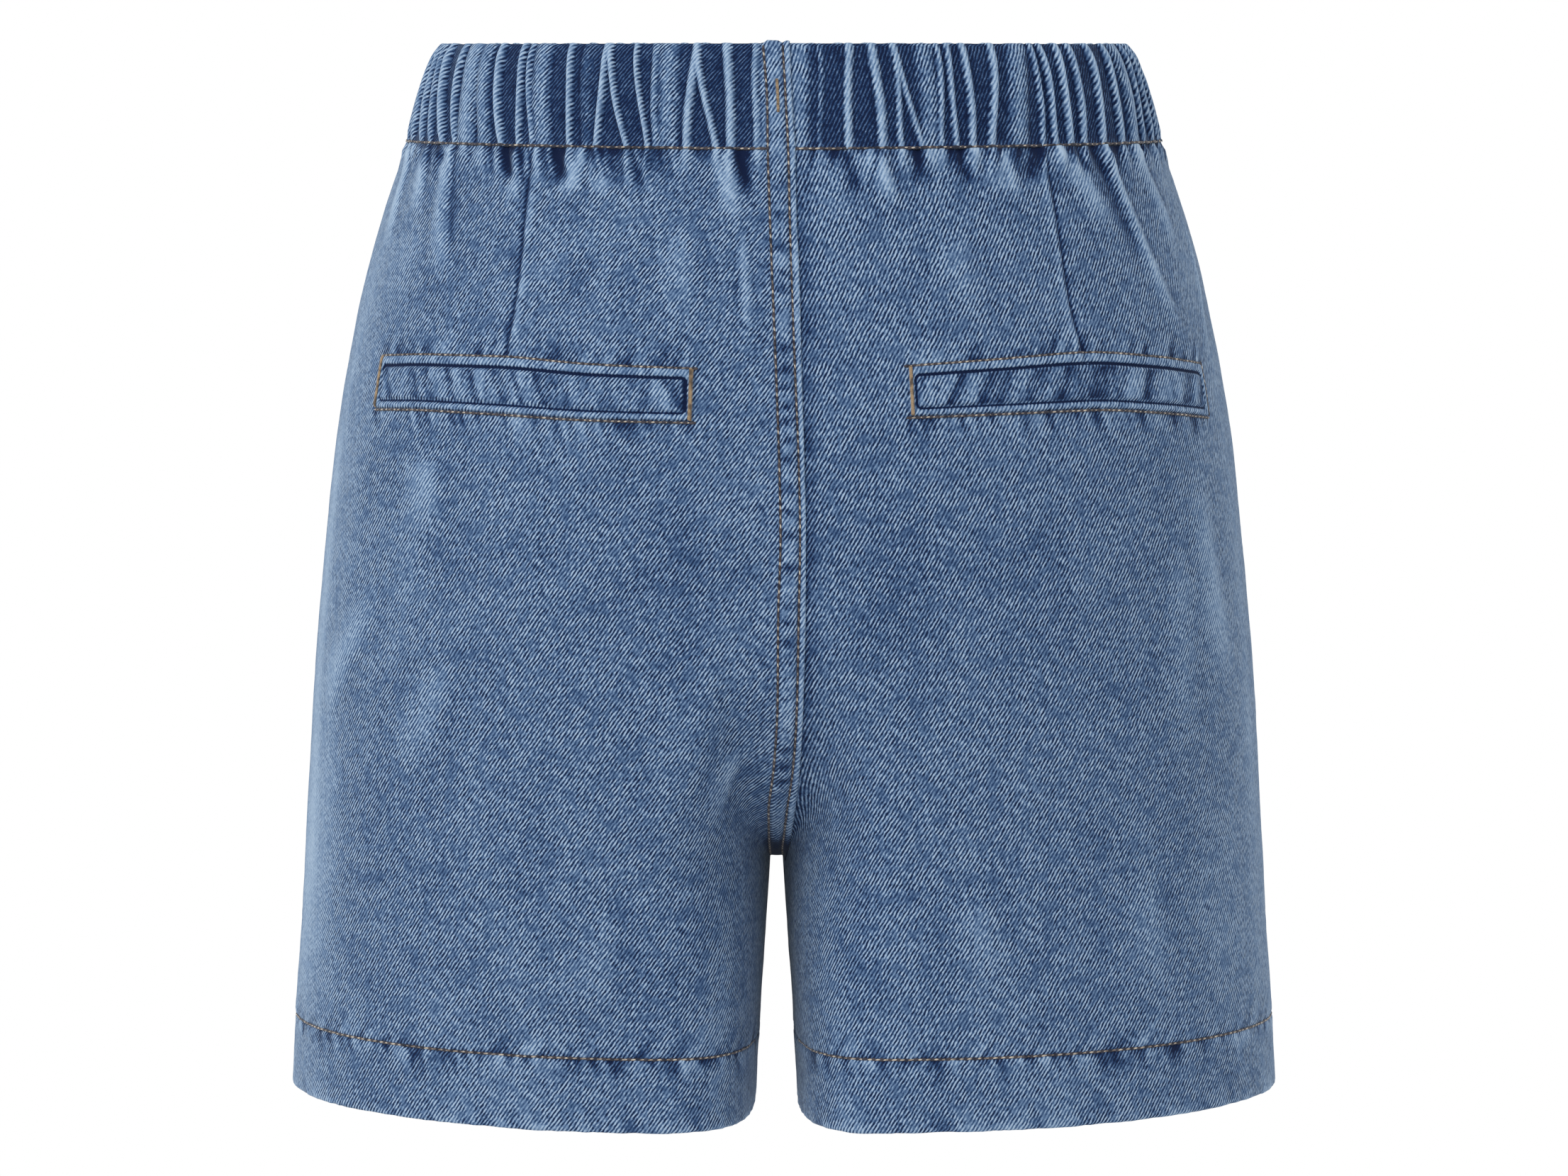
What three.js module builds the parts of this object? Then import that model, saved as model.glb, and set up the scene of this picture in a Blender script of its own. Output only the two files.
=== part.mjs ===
// Denim pull-on shorts with a gathered elastic waist, filled out as they are when worn.
// Millimetres, +Z up. The wearer faces -Y and the wearer's left is +X.
// Heights are given as drops below the waist's top edge. Bearings go round the body in degrees:
// 0 is the centre back, 90 the left side seam, 180 the centre front and -90 the right side seam.

import * as THREE from "three";

// Driving sizes

const TOP_EDGE_HEIGHT = 20;
const BAND_HEIGHT = 38;
const SEAT_DROP = { back: 200, front: 225 };
const CROTCH_DROP = 299;
const HEM_TURN_DROP = 361;
const HEM_DROP = 388.8;

const SEAM_GAP = 0.3;
const PANEL_WALL = 1.6;
const HEM_WALL = 2.8;
const BAND_WALL = 2.8;
const STRIP_WALL = 0.9;
const WELT_WALL = 0.9;

const BRIDGE_ROUND = 14;
const BRIDGE_SHARE = 0.6;
const SIDE_LIFT_POWER = 1.4;
const PANEL_COLUMNS = 25;
const SECTION_SAMPLES = 160;

// Sections of the whole form. "side" is half the width at the side seams, "back" and "front" are
// the greatest depths, "peak" is how far from the centre each leg is deepest, "gap" is the inseam's
// distance from the centre, "outer" and "inner" are the exponents of the curve on either side of
// the peak, "lift" raises the row at the side seam and "shift" moves the centre to the left.

const SECTION_COLUMNS = [
  "drop", "side", "back", "front", "peak", "gap", "outer", "inner", "lift", "shift",
];
const SECTION_ROWS = [
  [0, 124.2, 91, 87, 0, 0, 2.1, 2.2, 0, 0],
  [3, 126.8, 92.5, 88.5, 0, 0, 2.1, 2.2, 0, 0],
  [9, 129.9, 95, 91, 0, 0, 2.1, 2.2, 0.3, 0],
  [22, 134.4, 98.5, 94, 0, 0, 2.1, 2.2, 0.8, 0],
  [38, 138.4, 102, 96.5, 0, 0, 2.1, 2.2, 1.3, 0],
  [64, 147.1, 109, 101, 0, 0, 2.15, 2.2, 0.8, 0],
  [90, 154.3, 114.5, 104, 0, 0, 2.2, 2.2, 0.4, 0],
  [116, 159.8, 118.5, 106, 0.5, 0, 2.25, 2.2, 0.2, 0],
  [142, 164.2, 120.5, 106.5, 3, 0, 2.25, 2.2, 0, 0],
  [170, 167.7, 121, 106, 8, 0, 2.2, 2.2, 0, 0],
  [200, 170.7, 119.5, 104.5, 17, 0, 2.15, 2.2, 0, 0],
  [240, 173.8, 115, 102, 31, 0, 2.1, 2.2, 0.2, 0.6],
  [270, 175.6, 110.5, 100, 43, 0, 2.05, 2.2, 0.6, 1.8],
  [299, 177.3, 107, 98.5, 52, 0, 2, 2.2, 1.1, 2.8],
  [304, 177.6, 106.6, 98.3, 52.5, 2.4, 2, 2.25, 1.2, 2.8],
  [330, 179.1, 105, 97.5, 54, 4.2, 2, 2.5, 1.7, 2.8],
  [360, 181.1, 103.5, 96.5, 55, 6.2, 2, 2.9, 2.8, 2.8],
  [388.8, 182.5, 103, 96, 55, 7.8, 2, 3.2, 3.8, 2.8],
];

const BAND_DROPS = [0, 3, 9, 22, BAND_HEIGHT];
const PANEL_DROPS = [
  BAND_HEIGHT + SEAM_GAP, 50, 64, 84, 108, 137.5, 170, 200, 226, 250, 270, 285, 293, 297,
  CROTCH_DROP, 304, 316, 336, HEM_TURN_DROP - 1.5, HEM_TURN_DROP, 374, HEM_DROP,
];

// Gathers of the waistband. Each row is one line down the casing: its bearing at the top edge and
// at the foot seam, and how far it stands out. Crests stand out, troughs are drawn in.
// The hidden front repeats the rows of the opposite back quarter.

const GATHER_COLUMNS = ["top", "foot", "lift"];
const LEFT_GATHERS = [
  [5.0, 4.8, 0],
  [6.6, 6.1, -1.5],
  [9.9, 7.9, 1.2],
  [11.7, 10.4, -1.5],
  [14.5, 13.6, 1.3],
  [16.4, 15.2, -0.7],
  [18.6, 17.0, 0.6],
  [21.8, 19.1, -0.8],
  [24.9, 21.3, 1.2],
  [27.2, 24.6, -1.5],
  [30.0, 27.9, 1.3],
  [32.2, 29.5, -1.5],
  [34.0, 30.9, -0.7],
  [35.9, 32.2, -1.5],
  [38.0, 33.8, 1.2],
  [40.0, 35.8, -1.5],
  [43.0, 38.2, 0.9],
  [45.2, 39.9, 1.2],
  [46.8, 41.2, -0.9],
  [48.4, 42.8, 1.1],
  [50.6, 44.7, -1.4],
  [54.5, 47.4, 1.2],
  [57.3, 49.9, -1.3],
  [60.5, 52.6, 1.1],
  [63.5, 55.2, -0.2],
  [66.8, 58.0, 1.1],
  [71.4, 61.4, -1.4],
  [76.0, 65.2, 1.2],
  [79.8, 70.6, -1.2],
  [83.4, 77.0, 1.1],
  [86.8, 83.8, -1.0],
];
const RIGHT_GATHERS = [
  [2.7, 2.9, 0],
  [4.3, 4.2, -1.1],
  [5.8, 5.5, 0.6],
  [7.7, 7.2, -1.6],
  [10.2, 9.3, 1.2],
  [12.2, 11.8, -1.3],
  [14.2, 14.3, 1.2],
  [15.9, 16.4, -1.0],
  [17.7, 18.7, 1.2],
  [20.5, 20.4, -1.1],
  [22.8, 22.0, 0.5],
  [24.1, 23.0, -0.6],
  [25.2, 24.0, 0.9],
  [26.1, 25.0, -0.6],
  [27.2, 26.1, 1.1],
  [28.6, 27.4, -1.2],
  [30.3, 28.8, 1.2],
  [33.2, 30.4, -1.6],
  [35.5, 32.3, 1.4],
  [37.2, 34.0, -1.2],
  [40.4, 36.6, 0.7],
  [43.0, 39.6, -0.9],
  [45.2, 42.4, 1.2],
  [47.7, 44.9, -1.2],
  [50.3, 47.2, 1.1],
  [52.2, 49.2, -1.2],
  [54.2, 51.1, 1.1],
  [56.8, 53.6, -1.3],
  [59.5, 56.2, 1.1],
  [62.5, 59.2, -1.3],
  [65.5, 62.1, 1.1],
  [67.8, 64.5, -1.0],
  [71.0, 67.3, 1.0],
  [74.8, 70.8, 0.8],
  [77.6, 73.8, -1.2],
  [80.5, 77.0, 1.1],
  [83.4, 80.4, -1.2],
  [86.4, 84.6, 1.0],
];
const GATHER_STRENGTH = [0.7, 0.9, 1.05, 1.15, 0.8];
const CREST_SHOULDER = 0.36;
const CREST_SHOULDER_LIFT = 0.8;
const INNER_GATHER_SHARE = 0.5;

// Soft folds of the panels: where each starts and ends, its half width and how far it stands out.
// Negative ones are troughs.

const FOLD_COLUMNS = ["fromBearing", "fromDrop", "toBearing", "toDrop", "halfWidth", "rise"];
const FOLD_ROWS = [
  [9, 38, 4.7, 68, 10, 1.6],
  [23.5, 38, 19.5, 60, 8, -1.3],
  [31, 38, 32, 60, 9, 1.3],
  [35.5, 38, 33, 50, 8, -1.2],
  [45.5, 38, 42, 52, 8, -1.3],
  [59.5, 42, 54.9, 72, 11, 1.5],
  [54.9, 72, 48.7, 94, 11, 1.2],
  [51.7, 144, 49.1, 180, 15, 0.9],
  [57.6, 196, 77, 254, 17, 1.3],
  [42.5, 222, 50.4, 258, 15, 0.9],
  [3.4, 244, 8, 284, 10, 1.1],
  [-9.5, 40, -11.2, 58, 9, -1.5],
  [-13.2, 38, -16.2, 58, 9, 1.4],
  [-26.5, 38, -28.5, 50, 8, -1.3],
  [-33.5, 40, -35.5, 58, 9, 1.1],
  [-43, 38, -52.5, 72, 11, 1.4],
  [-55.8, 38, -61.6, 79, 11, 1.9],
  [-61.6, 79, -66.8, 101, 11, 1.5],
  [-63, 172, -71.6, 244, 17, 1.2],
  [-55.4, 162, -54.1, 262, 16, 0.9],
  [-3, 258, -7, 286, 9, 1.0],
  [171, 38, 175, 66, 10, 1.4],
  [152, 38, 149, 60, 9, 1.3],
  [132, 38, 137, 54, 9, -1.3],
  [121, 40, 128, 78, 11, 1.5],
  [118, 190, 104, 250, 17, 1.2],
  [166, 236, 150, 262, 12, 1.1],
  [-170, 38, -172, 60, 9, -1.4],
  [-157, 38, -153, 60, 9, 1.3],
  [-138, 38, -131, 74, 11, 1.4],
  [-122, 38, -112, 100, 11, 1.7],
  [-117, 176, -108, 244, 17, 1.2],
  [-166, 238, -152, 266, 12, 1.1],
];
const CROTCH_FADE = 30;

// The flat-felled strip over the centre back seam: how far it reaches to the left of the seam
// and to the right of it.

const STRIP_COLUMNS = ["drop", "left", "right"];
const STRIP_ROWS = [
  [0, 7.9, 2.0],
  [38, 6.6, 3.2],
  [60, 5.8, 4.1],
  [90, 4.7, 5.3],
  [118, 3.5, 6.4],
  [147, 2.6, 7.3],
  [173, 2.1, 7.8],
  [200, 2.4, 7.5],
  [235, 3.0, 6.8],
  [258, 3.9, 5.6],
  [285, 5.2, 3.4],
];
const STRIP_END_DROP = 285;

// The welt pockets: the frame's top and bottom edges at each bearing.

const POCKET_COLUMNS = ["bearing", "top", "bottom"];
const POCKET_ROWS = {
  left: [
    [11.4, 114.6, 132.7],
    [25, 113.5, 132.2],
    [39.5, 111.4, 130.8],
    [52, 111.6, 130.4],
    [64.8, 113.0, 131.4],
  ],
  right: [
    [15.8, 113.8, 131.0],
    [28, 111.9, 130.2],
    [42, 110.2, 129.6],
    [56, 112.6, 131.8],
    [69.8, 116.4, 135.0],
  ],
};

// Across the welt, from the top edge to the bottom one: the share of the height and how much of the
// welt's wall stands there. The lips stand proud, the slot lies under the top lip.

const WELT_PROFILE_COLUMNS = ["share", "stand"];
const WELT_PROFILE = [
  [0, 0.75],
  [0.13, 1.35],
  [0.16, 0.5],
  [0.24, 0.95],
  [0.84, 0.95],
  [0.87, 1.35],
  [1, 0.75],
];

// Colours

const DENIM = { color: 0x5b7596, roughness: 0.92, metalness: 0 };
const DENIM_BAND = { color: 0x4b658c, roughness: 0.92, metalness: 0 };
const DENIM_SEAM = { color: 0x6f88a6, roughness: 0.9, metalness: 0 };
const DENIM_WELT = { color: 0x3d577f, roughness: 0.92, metalness: 0 };

// Tables

/** Turns rows of numbers into records with the names of their columns. */
function named(columns, rows) {
  return rows.map((row) => Object.fromEntries(columns.map((name, i) => [name, row[i]])));
}

/** Slope at each knot of a smooth curve that doesn't overshoot its knots. */
function knotSlopes(knots, values) {
  const chords = values.slice(1).map((value, i) => (value - values[i]) / (knots[i + 1] - knots[i]));
  return values.map((_, i) => {
    const before = chords[i - 1];
    const after = chords[i];
    if (before === undefined) return after;
    if (after === undefined) return before;
    return before * after > 0 ? (2 * before * after) / (before + after) : 0;
  });
}

/** A smooth curve through the values of one column, as a function of the first column. */
function smoothColumn(records, keyName, name) {
  const knots = records.map((record) => record[keyName]);
  const values = records.map((record) => record[name]);
  const slopes = knotSlopes(knots, values);
  return (key) => {
    const above = knots.findIndex((knot) => knot > key);
    const i = above < 0 ? knots.length - 2 : Math.max(0, above - 1);
    const span = knots[i + 1] - knots[i];
    const t = Math.min(1, Math.max(0, (key - knots[i]) / span));
    const stay = 1 - t;
    return (
      (1 + 2 * t) * stay * stay * values[i] +
      t * stay * stay * span * slopes[i] +
      t * t * (3 - 2 * t) * values[i + 1] -
      t * t * stay * span * slopes[i + 1]
    );
  };
}

/** All columns of a table as smooth curves by name. */
function smoothTable(columns, rows) {
  const records = named(columns, rows);
  return Object.fromEntries(
    columns.slice(1).map((name) => [name, smoothColumn(records, columns[0], name)]),
  );
}

const sections = smoothTable(SECTION_COLUMNS, SECTION_ROWS);
const stripReach = smoothTable(STRIP_COLUMNS, STRIP_ROWS);
const folds = named(FOLD_COLUMNS, FOLD_ROWS);

// The form

/** Depth of the centre seam, which runs down the seat and under it to the crotch. */
function seamDepth(face, drop) {
  const start = SEAT_DROP[face];
  if (drop <= start) return sections[face](drop);
  const run = Math.min(1, (drop - start) / (CROTCH_DROP - start));
  const curve = sections[face](start) * Math.sqrt(1 - run * run);
  return Math.min(curve, sections[face](drop));
}

/** Depth of the form at a distance from the centre. */
function depthAt(face, across, drop) {
  const deepest = sections[face](drop);
  const side = sections.side(drop);
  const peak = sections.peak(drop);
  if (across >= peak) {
    const reach = Math.min(1, (across - peak) / (side - peak));
    const outer = sections.outer(drop);
    return deepest * (1 - reach ** outer) ** (1 / outer);
  }
  const gap = sections.gap(drop);
  const inner = sections.inner(drop);
  const reach = Math.min(1, (peak - across) / (peak - gap));
  const leg = deepest * (1 - reach ** inner) ** (1 / inner);
  if (drop >= CROTCH_DROP) return leg;
  const seam = seamDepth(face, drop);
  const round = Math.min(BRIDGE_ROUND, deepest - seam, seam * BRIDGE_SHARE);
  if (round <= 0) return Math.max(leg, seam);
  const near = Math.max(0, round - Math.abs(leg - seam)) / round;
  return Math.max(leg, seam) + (near * near * round) / 4;
}

/** A place on the form. Side is 1 on the left and -1 on the right. */
function formPoint(side, face, across, drop) {
  const share = across / sections.side(drop);
  const depth = Math.max(depthAt(face, across, drop), SEAM_GAP / 2);
  return new THREE.Vector3(
    side * Math.max(across, SEAM_GAP / 2) + sections.shift(drop) * (1 - share),
    face === "back" ? depth : -depth,
    TOP_EDGE_HEIGHT - drop + sections.lift(drop) * share ** SIDE_LIFT_POWER,
  );
}

const alongCache = new Map();

/** Distances from the centre at even steps, with the cloth's running length up to each. */
function sectionRun(face, drop) {
  const key = `${face} ${drop.toFixed(4)}`;
  if (alongCache.has(key)) return alongCache.get(key);
  const start = drop < CROTCH_DROP ? 0 : sections.gap(drop);
  const end = sections.side(drop);
  const run = { across: [], length: [] };
  let before = null;
  for (let i = 0; i <= SECTION_SAMPLES; i += 1) {
    const share = (1 - Math.cos((Math.PI * i) / SECTION_SAMPLES)) / 2;
    const across = start + (end - start) * share;
    const point = new THREE.Vector2(across, depthAt(face, across, drop));
    run.across.push(across);
    run.length.push(before ? run.length[i - 1] + point.distanceTo(before) : 0);
    before = point;
  }
  alongCache.set(key, run);
  return run;
}

/** Distance from the centre of the place at a share of the way to the side seam. */
function acrossAtShare(face, share, drop) {
  const run = sectionRun(face, drop);
  const goal = share * run.length[SECTION_SAMPLES];
  const above = run.length.findIndex((length) => length >= goal);
  if (above <= 0) return run.across[0];
  const span = run.length[above] - run.length[above - 1];
  const t = (goal - run.length[above - 1]) / span;
  return run.across[above - 1] + t * (run.across[above] - run.across[above - 1]);
}

/** Outward direction of a form given as a function of two numbers. */
function outward(place, u, v, stepU, stepV, turn) {
  const alongU = place(u + stepU, v).sub(place(u - stepU, v));
  const alongV = place(u, v + stepV).sub(place(u, v - stepV));
  return alongU.cross(alongV).multiplyScalar(turn).normalize();
}

/** Keeps the edge of a quarter in the plane of its seam. */
function keepInSeam(normal, seam) {
  if (seam === "centre") normal.x = 0;
  if (seam === "side") normal.y = 0;
  if (seam === "crotch") normal.set(0, 0, -1);
  return normal.normalize();
}

/** How far the soft folds move the cloth at a place on the form. */
function foldRise(point) {
  const crotch = new THREE.Vector3(sections.shift(CROTCH_DROP), 0, TOP_EDGE_HEIGHT - CROTCH_DROP);
  const free = Math.min(1, point.distanceTo(crotch) / CROTCH_FADE);
  let rise = 0;
  for (const fold of foldLines) {
    const nearest = fold.line.closestPointToPoint(point, true, new THREE.Vector3());
    const away = nearest.distanceTo(point) / fold.halfWidth;
    if (away < 1) rise += (fold.rise * (1 + Math.cos(Math.PI * away))) / 2;
  }
  return rise * free;
}

/** A place on the form by its bearing. */
function bearingPoint(bearing, drop) {
  const angle = THREE.MathUtils.degToRad(bearing);
  const face = Math.cos(angle) >= 0 ? "back" : "front";
  const across = sections.side(drop) * Math.abs(Math.sin(angle));
  return formPoint(Math.sin(angle) >= 0 ? 1 : -1, face, across, drop);
}

const foldLines = folds.map((fold) => ({
  ...fold,
  line: new THREE.Line3(
    bearingPoint(fold.fromBearing, fold.fromDrop),
    bearingPoint(fold.toBearing, fold.toDrop),
  ),
}));

// Walls

/** Closed wall between an outer and an inner grid of points with rims on all four edges. */
function clothWall(outer, inner, turn) {
  const rows = outer.length;
  const columns = outer[0].length;
  const positions = [];
  const indices = [];
  for (const grid of [outer, inner]) {
    for (const row of grid) {
      for (const point of row) positions.push(point.x, point.y, point.z);
    }
  }
  const out = (row, column) => row * columns + column;
  const back = (row, column) => rows * columns + out(row, column);
  const apart = (a, b) =>
    Math.hypot(...[0, 1, 2].map((axis) => positions[3 * a + axis] - positions[3 * b + axis]));
  const triangle = (a, b, c) => indices.push(...(turn > 0 ? [a, b, c] : [a, c, b]));
  const quad = (a, b, c, d) => {
    const firstIsShorter = apart(a, c) <= apart(b, d);
    triangle(a, b, firstIsShorter ? c : d);
    triangle(firstIsShorter ? a : b, c, d);
  };
  for (let r = 0; r < rows - 1; r += 1) {
    for (let c = 0; c < columns - 1; c += 1) {
      quad(out(r, c), out(r, c + 1), out(r + 1, c + 1), out(r + 1, c));
      quad(back(r, c), back(r + 1, c), back(r + 1, c + 1), back(r, c + 1));
    }
  }
  for (let r = 0; r < rows - 1; r += 1) {
    const last = columns - 1;
    quad(out(r, 0), out(r + 1, 0), back(r + 1, 0), back(r, 0));
    quad(out(r, last), back(r, last), back(r + 1, last), out(r + 1, last));
  }
  for (let c = 0; c < columns - 1; c += 1) {
    const last = rows - 1;
    quad(out(0, c), back(0, c), back(0, c + 1), out(0, c + 1));
    quad(out(last, c), out(last, c + 1), back(last, c + 1), back(last, c));
  }
  const geometry = new THREE.BufferGeometry();
  geometry.setAttribute("position", new THREE.Float32BufferAttribute(positions, 3));
  geometry.setIndex(indices);
  geometry.computeVertexNormals();
  return geometry;
}

/** Moves a point along its normal. */
function moved(point, normal, distance) {
  return point.clone().addScaledVector(normal, distance);
}

/** A cloth piece as a named mesh with its own material. */
function clothMesh(name, geometry, look) {
  const mesh = new THREE.Mesh(geometry, new THREE.MeshStandardMaterial(look));
  mesh.name = name;
  return mesh;
}

/** Outward turn of a quarter: 1 where left meets back or right meets front. */
function turnOf(side, face) {
  return side * (face === "back" ? 1 : -1);
}

// Panels

/** Wall of a panel at a drop: the turned-up hem is cloth on cloth. */
function panelWall(drop) {
  return drop >= HEM_TURN_DROP ? HEM_WALL : PANEL_WALL;
}

/** Which seam the inner or outer edge of a panel lies in. */
function panelSeam(column, drop) {
  if (column === PANEL_COLUMNS) return "side";
  if (column > 0) return "none";
  if (drop === CROTCH_DROP) return "crotch";
  return drop < CROTCH_DROP ? "centre" : "side";
}

/** How much of the way to the side seam a column lies. The first one runs beside the felled strip. */
function columnShare(side, face, column, drop) {
  if (column === 0) return 0;
  const reach = side > 0 ? stripReach.left(drop) : stripReach.right(drop);
  const first = reach / sectionRun(face, drop).length[SECTION_SAMPLES];
  return first + ((1 - first) * (column - 1)) / (PANEL_COLUMNS - 1);
}

/** Rows of points and normals over the outside of one panel. */
function panelGrid(side, face) {
  const turn = turnOf(side, face);
  const place = (share, drop) => {
    const kept = Math.min(1, Math.max(0, share));
    return formPoint(side, face, acrossAtShare(face, kept, drop), drop);
  };
  return PANEL_DROPS.map((drop) =>
    Array.from({ length: PANEL_COLUMNS + 1 }, (_, column) => {
      const share = columnShare(side, face, column, drop);
      const form = place(share, drop);
      const raw = outward(place, share, drop, 0.004, 0.4, turn);
      const normal = keepInSeam(raw, panelSeam(column, drop));
      return { point: moved(form, normal, foldRise(form)), normal, drop };
    }),
  );
}

/** One panel with its turned-up hem. */
function panel(side, face, grid) {
  const outer = grid.map((row) => row.map(({ point }) => point));
  const inner = grid.map((row) =>
    row.map(({ point, normal, drop }) => moved(point, normal, -panelWall(drop))),
  );
  return clothWall(outer, inner, turnOf(side, face));
}

// Waistband

/** Gather lines of a quarter with a rounded shoulder beside each crest. */
function gatherLines(rows) {
  const flat = { top: 0, foot: 0, lift: 0 };
  const sideSeam = { top: 90, foot: 90, lift: 0 };
  const lines = [flat, ...named(GATHER_COLUMNS, rows), sideSeam];
  return lines.flatMap((line, i) => {
    const next = lines[i + 1];
    if (!next || next.lift === line.lift) return [line];
    const share = line.lift > next.lift ? CREST_SHOULDER : 1 - CREST_SHOULDER;
    const rise = line.lift > next.lift ? 1 - CREST_SHOULDER_LIFT : CREST_SHOULDER_LIFT;
    const between = (name, t) => line[name] + t * (next[name] - line[name]);
    const shoulder = {
      top: between("top", share),
      foot: between("foot", share),
      lift: between("lift", rise),
    };
    return [line, shoulder];
  });
}

/** Rows of points and normals over the outside of one quarter of the waistband. */
function bandGrid(side, face, gathers) {
  const turn = turnOf(side, face);
  const place = (bearing, drop) => {
    const angle = THREE.MathUtils.degToRad(Math.min(90, Math.max(0, bearing)));
    return formPoint(side, face, sections.side(drop) * Math.sin(angle), Math.max(0, drop));
  };
  const lines = gatherLines(gathers);
  return BAND_DROPS.map((drop, row) =>
    lines.map((line, column) => {
      const bearing = line.top + (line.foot - line.top) * (drop / BAND_HEIGHT);
      const form = place(bearing, drop);
      const raw = outward(place, bearing, Math.max(drop, 0.4), 0.3, 0.4, turn);
      const seam = { 0: "centre", [lines.length - 1]: "side" }[column];
      const normal = keepInSeam(raw, seam);
      const lift = line.lift * GATHER_STRENGTH[row];
      return { point: moved(form, normal, lift), normal, lift, drop };
    }),
  );
}

/** One quarter of the gathered casing. */
function waistband(side, face, grid) {
  const outer = grid.map((row) => row.map(({ point }) => point));
  const inner = grid.map((row) =>
    row.map(({ point, normal, lift }) =>
      moved(point, normal, -BAND_WALL - lift * (1 - INNER_GATHER_SHARE)),
    ),
  );
  return clothWall(outer, inner, turnOf(side, face));
}

// Pieces that lie on the panels

/** Mixes two grid places. */
function mixed(first, second, t) {
  return {
    point: first.point.clone().lerp(second.point, t),
    normal: first.normal.clone().lerp(second.normal, t).normalize(),
  };
}

/** Place on the flat facets between two grid rows, split along the shorter diagonal. */
function onFacet(above, below, column, across, down) {
  const [a, b] = [above[column], above[column + 1]];
  const [d, c] = [below[column], below[column + 1]];
  const split = a.point.distanceTo(c.point) <= b.point.distanceTo(d.point);
  const corners = split
    ? { a: 1 - Math.max(across, down), b: Math.max(0, across - down) }
    : { a: Math.max(0, 1 - across - down), b: across - Math.max(0, across + down - 1) };
  const shares = { ...corners, d: 1 - across - corners.a, c: across - corners.b };
  const places = { a, b, c, d };
  const blend = (name) =>
    Object.entries(places).reduce(
      (sum, [key, place]) => sum.addScaledVector(place[name], shares[key]),
      new THREE.Vector3(),
    );
  return { point: blend("point"), normal: blend("normal").normalize() };
}

/** Place on a grid row at a distance from the centre seam. */
function onRow(row, across) {
  const centre = sections.shift(row[0].drop);
  const reach = ({ point }) => Math.abs(point.x - centre);
  const next = Math.max(1, row.findIndex((place) => reach(place) >= across));
  const start = reach(row[next - 1]);
  const t = (across - start) / (reach(row[next]) - start);
  return mixed(row[next - 1], row[next], t);
}

/** The felled strip from the waist edge to the crotch, over both back quarters. */
function centreSeamStrip(grids) {
  const rowsOf = (side) =>
    [...grids.band[side], ...grids.panel[side].filter((row) => row[0].drop <= STRIP_END_DROP)];
  const leftRows = rowsOf("left");
  const rightRows = rowsOf("right");
  const places = leftRows.map((leftRow, i) => {
    const drop = leftRow[0].drop;
    const middle = mixed(leftRow[0], rightRows[i][0], 0.5);
    const isBand = drop <= BAND_HEIGHT;
    return [
      isBand ? onRow(rightRows[i], stripReach.right(drop)) : rightRows[i][1],
      middle,
      isBand ? onRow(leftRow, stripReach.left(drop)) : leftRow[1],
    ];
  });
  const lifted = (distance) =>
    places.map((row) => row.map(({ point, normal }) => moved(point, normal, distance)));
  return clothWall(lifted(SEAM_GAP + STRIP_WALL), lifted(SEAM_GAP), 1);
}

/** Column number of a bearing on a grid row, with its fraction. */
function columnOfBearing(row, bearing) {
  const drop = row[0].drop;
  const across = sections.side(drop) * Math.sin(THREE.MathUtils.degToRad(bearing));
  const next = Math.max(1, row.findIndex(({ point }) => Math.abs(point.x) >= across));
  const start = Math.abs(row[next - 1].point.x);
  return next - 1 + (across - start) / (Math.abs(row[next].point.x) - start);
}

/** The welt and its stitched frame, as one piece on the back panel. */
function pocketWelt(side, rows, grid) {
  const edges = smoothTable(POCKET_COLUMNS, rows);
  const above = grid.filter((row) => row[0].drop <= Math.min(...rows.map(([, top]) => top))).at(-1);
  const below = grid[grid.indexOf(above) + 1];
  const from = columnOfBearing(above, rows[0][0]);
  const to = columnOfBearing(above, rows.at(-1)[0]);
  const stops = [from];
  for (let column = Math.ceil(from + 0.2); column < to - 0.2; column += 1) stops.push(column);
  stops.push(to);
  const profile = named(WELT_PROFILE_COLUMNS, WELT_PROFILE);
  const places = profile.map(({ share, stand }) =>
    stops.map((stop) => {
      const column = Math.min(Math.floor(stop), PANEL_COLUMNS - 1);
      const bearing = rows[0][0] + ((rows.at(-1)[0] - rows[0][0]) * (stop - from)) / (to - from);
      const drop = edges.top(bearing) * (1 - share) + edges.bottom(bearing) * share;
      const down = (drop - above[0].drop) / (below[0].drop - above[0].drop);
      return { ...onFacet(above, below, column, stop - column, down), stand };
    }),
  );
  const outer = places.map((row) =>
    row.map(({ point, normal, stand }) => moved(point, normal, SEAM_GAP + stand * WELT_WALL)),
  );
  const inner = places.map((row) =>
    row.map(({ point, normal }) => moved(point, normal, SEAM_GAP)),
  );
  return clothWall(outer, inner, side);
}

// The garment

const group = new THREE.Group();
group.name = "denim_shorts";

const SIDES = { left: 1, right: -1 };
const GATHERS = { left: LEFT_GATHERS, right: RIGHT_GATHERS };
const OPPOSITE = { left: "right", right: "left" };
const backGrids = { panel: {}, band: {} };

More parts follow.
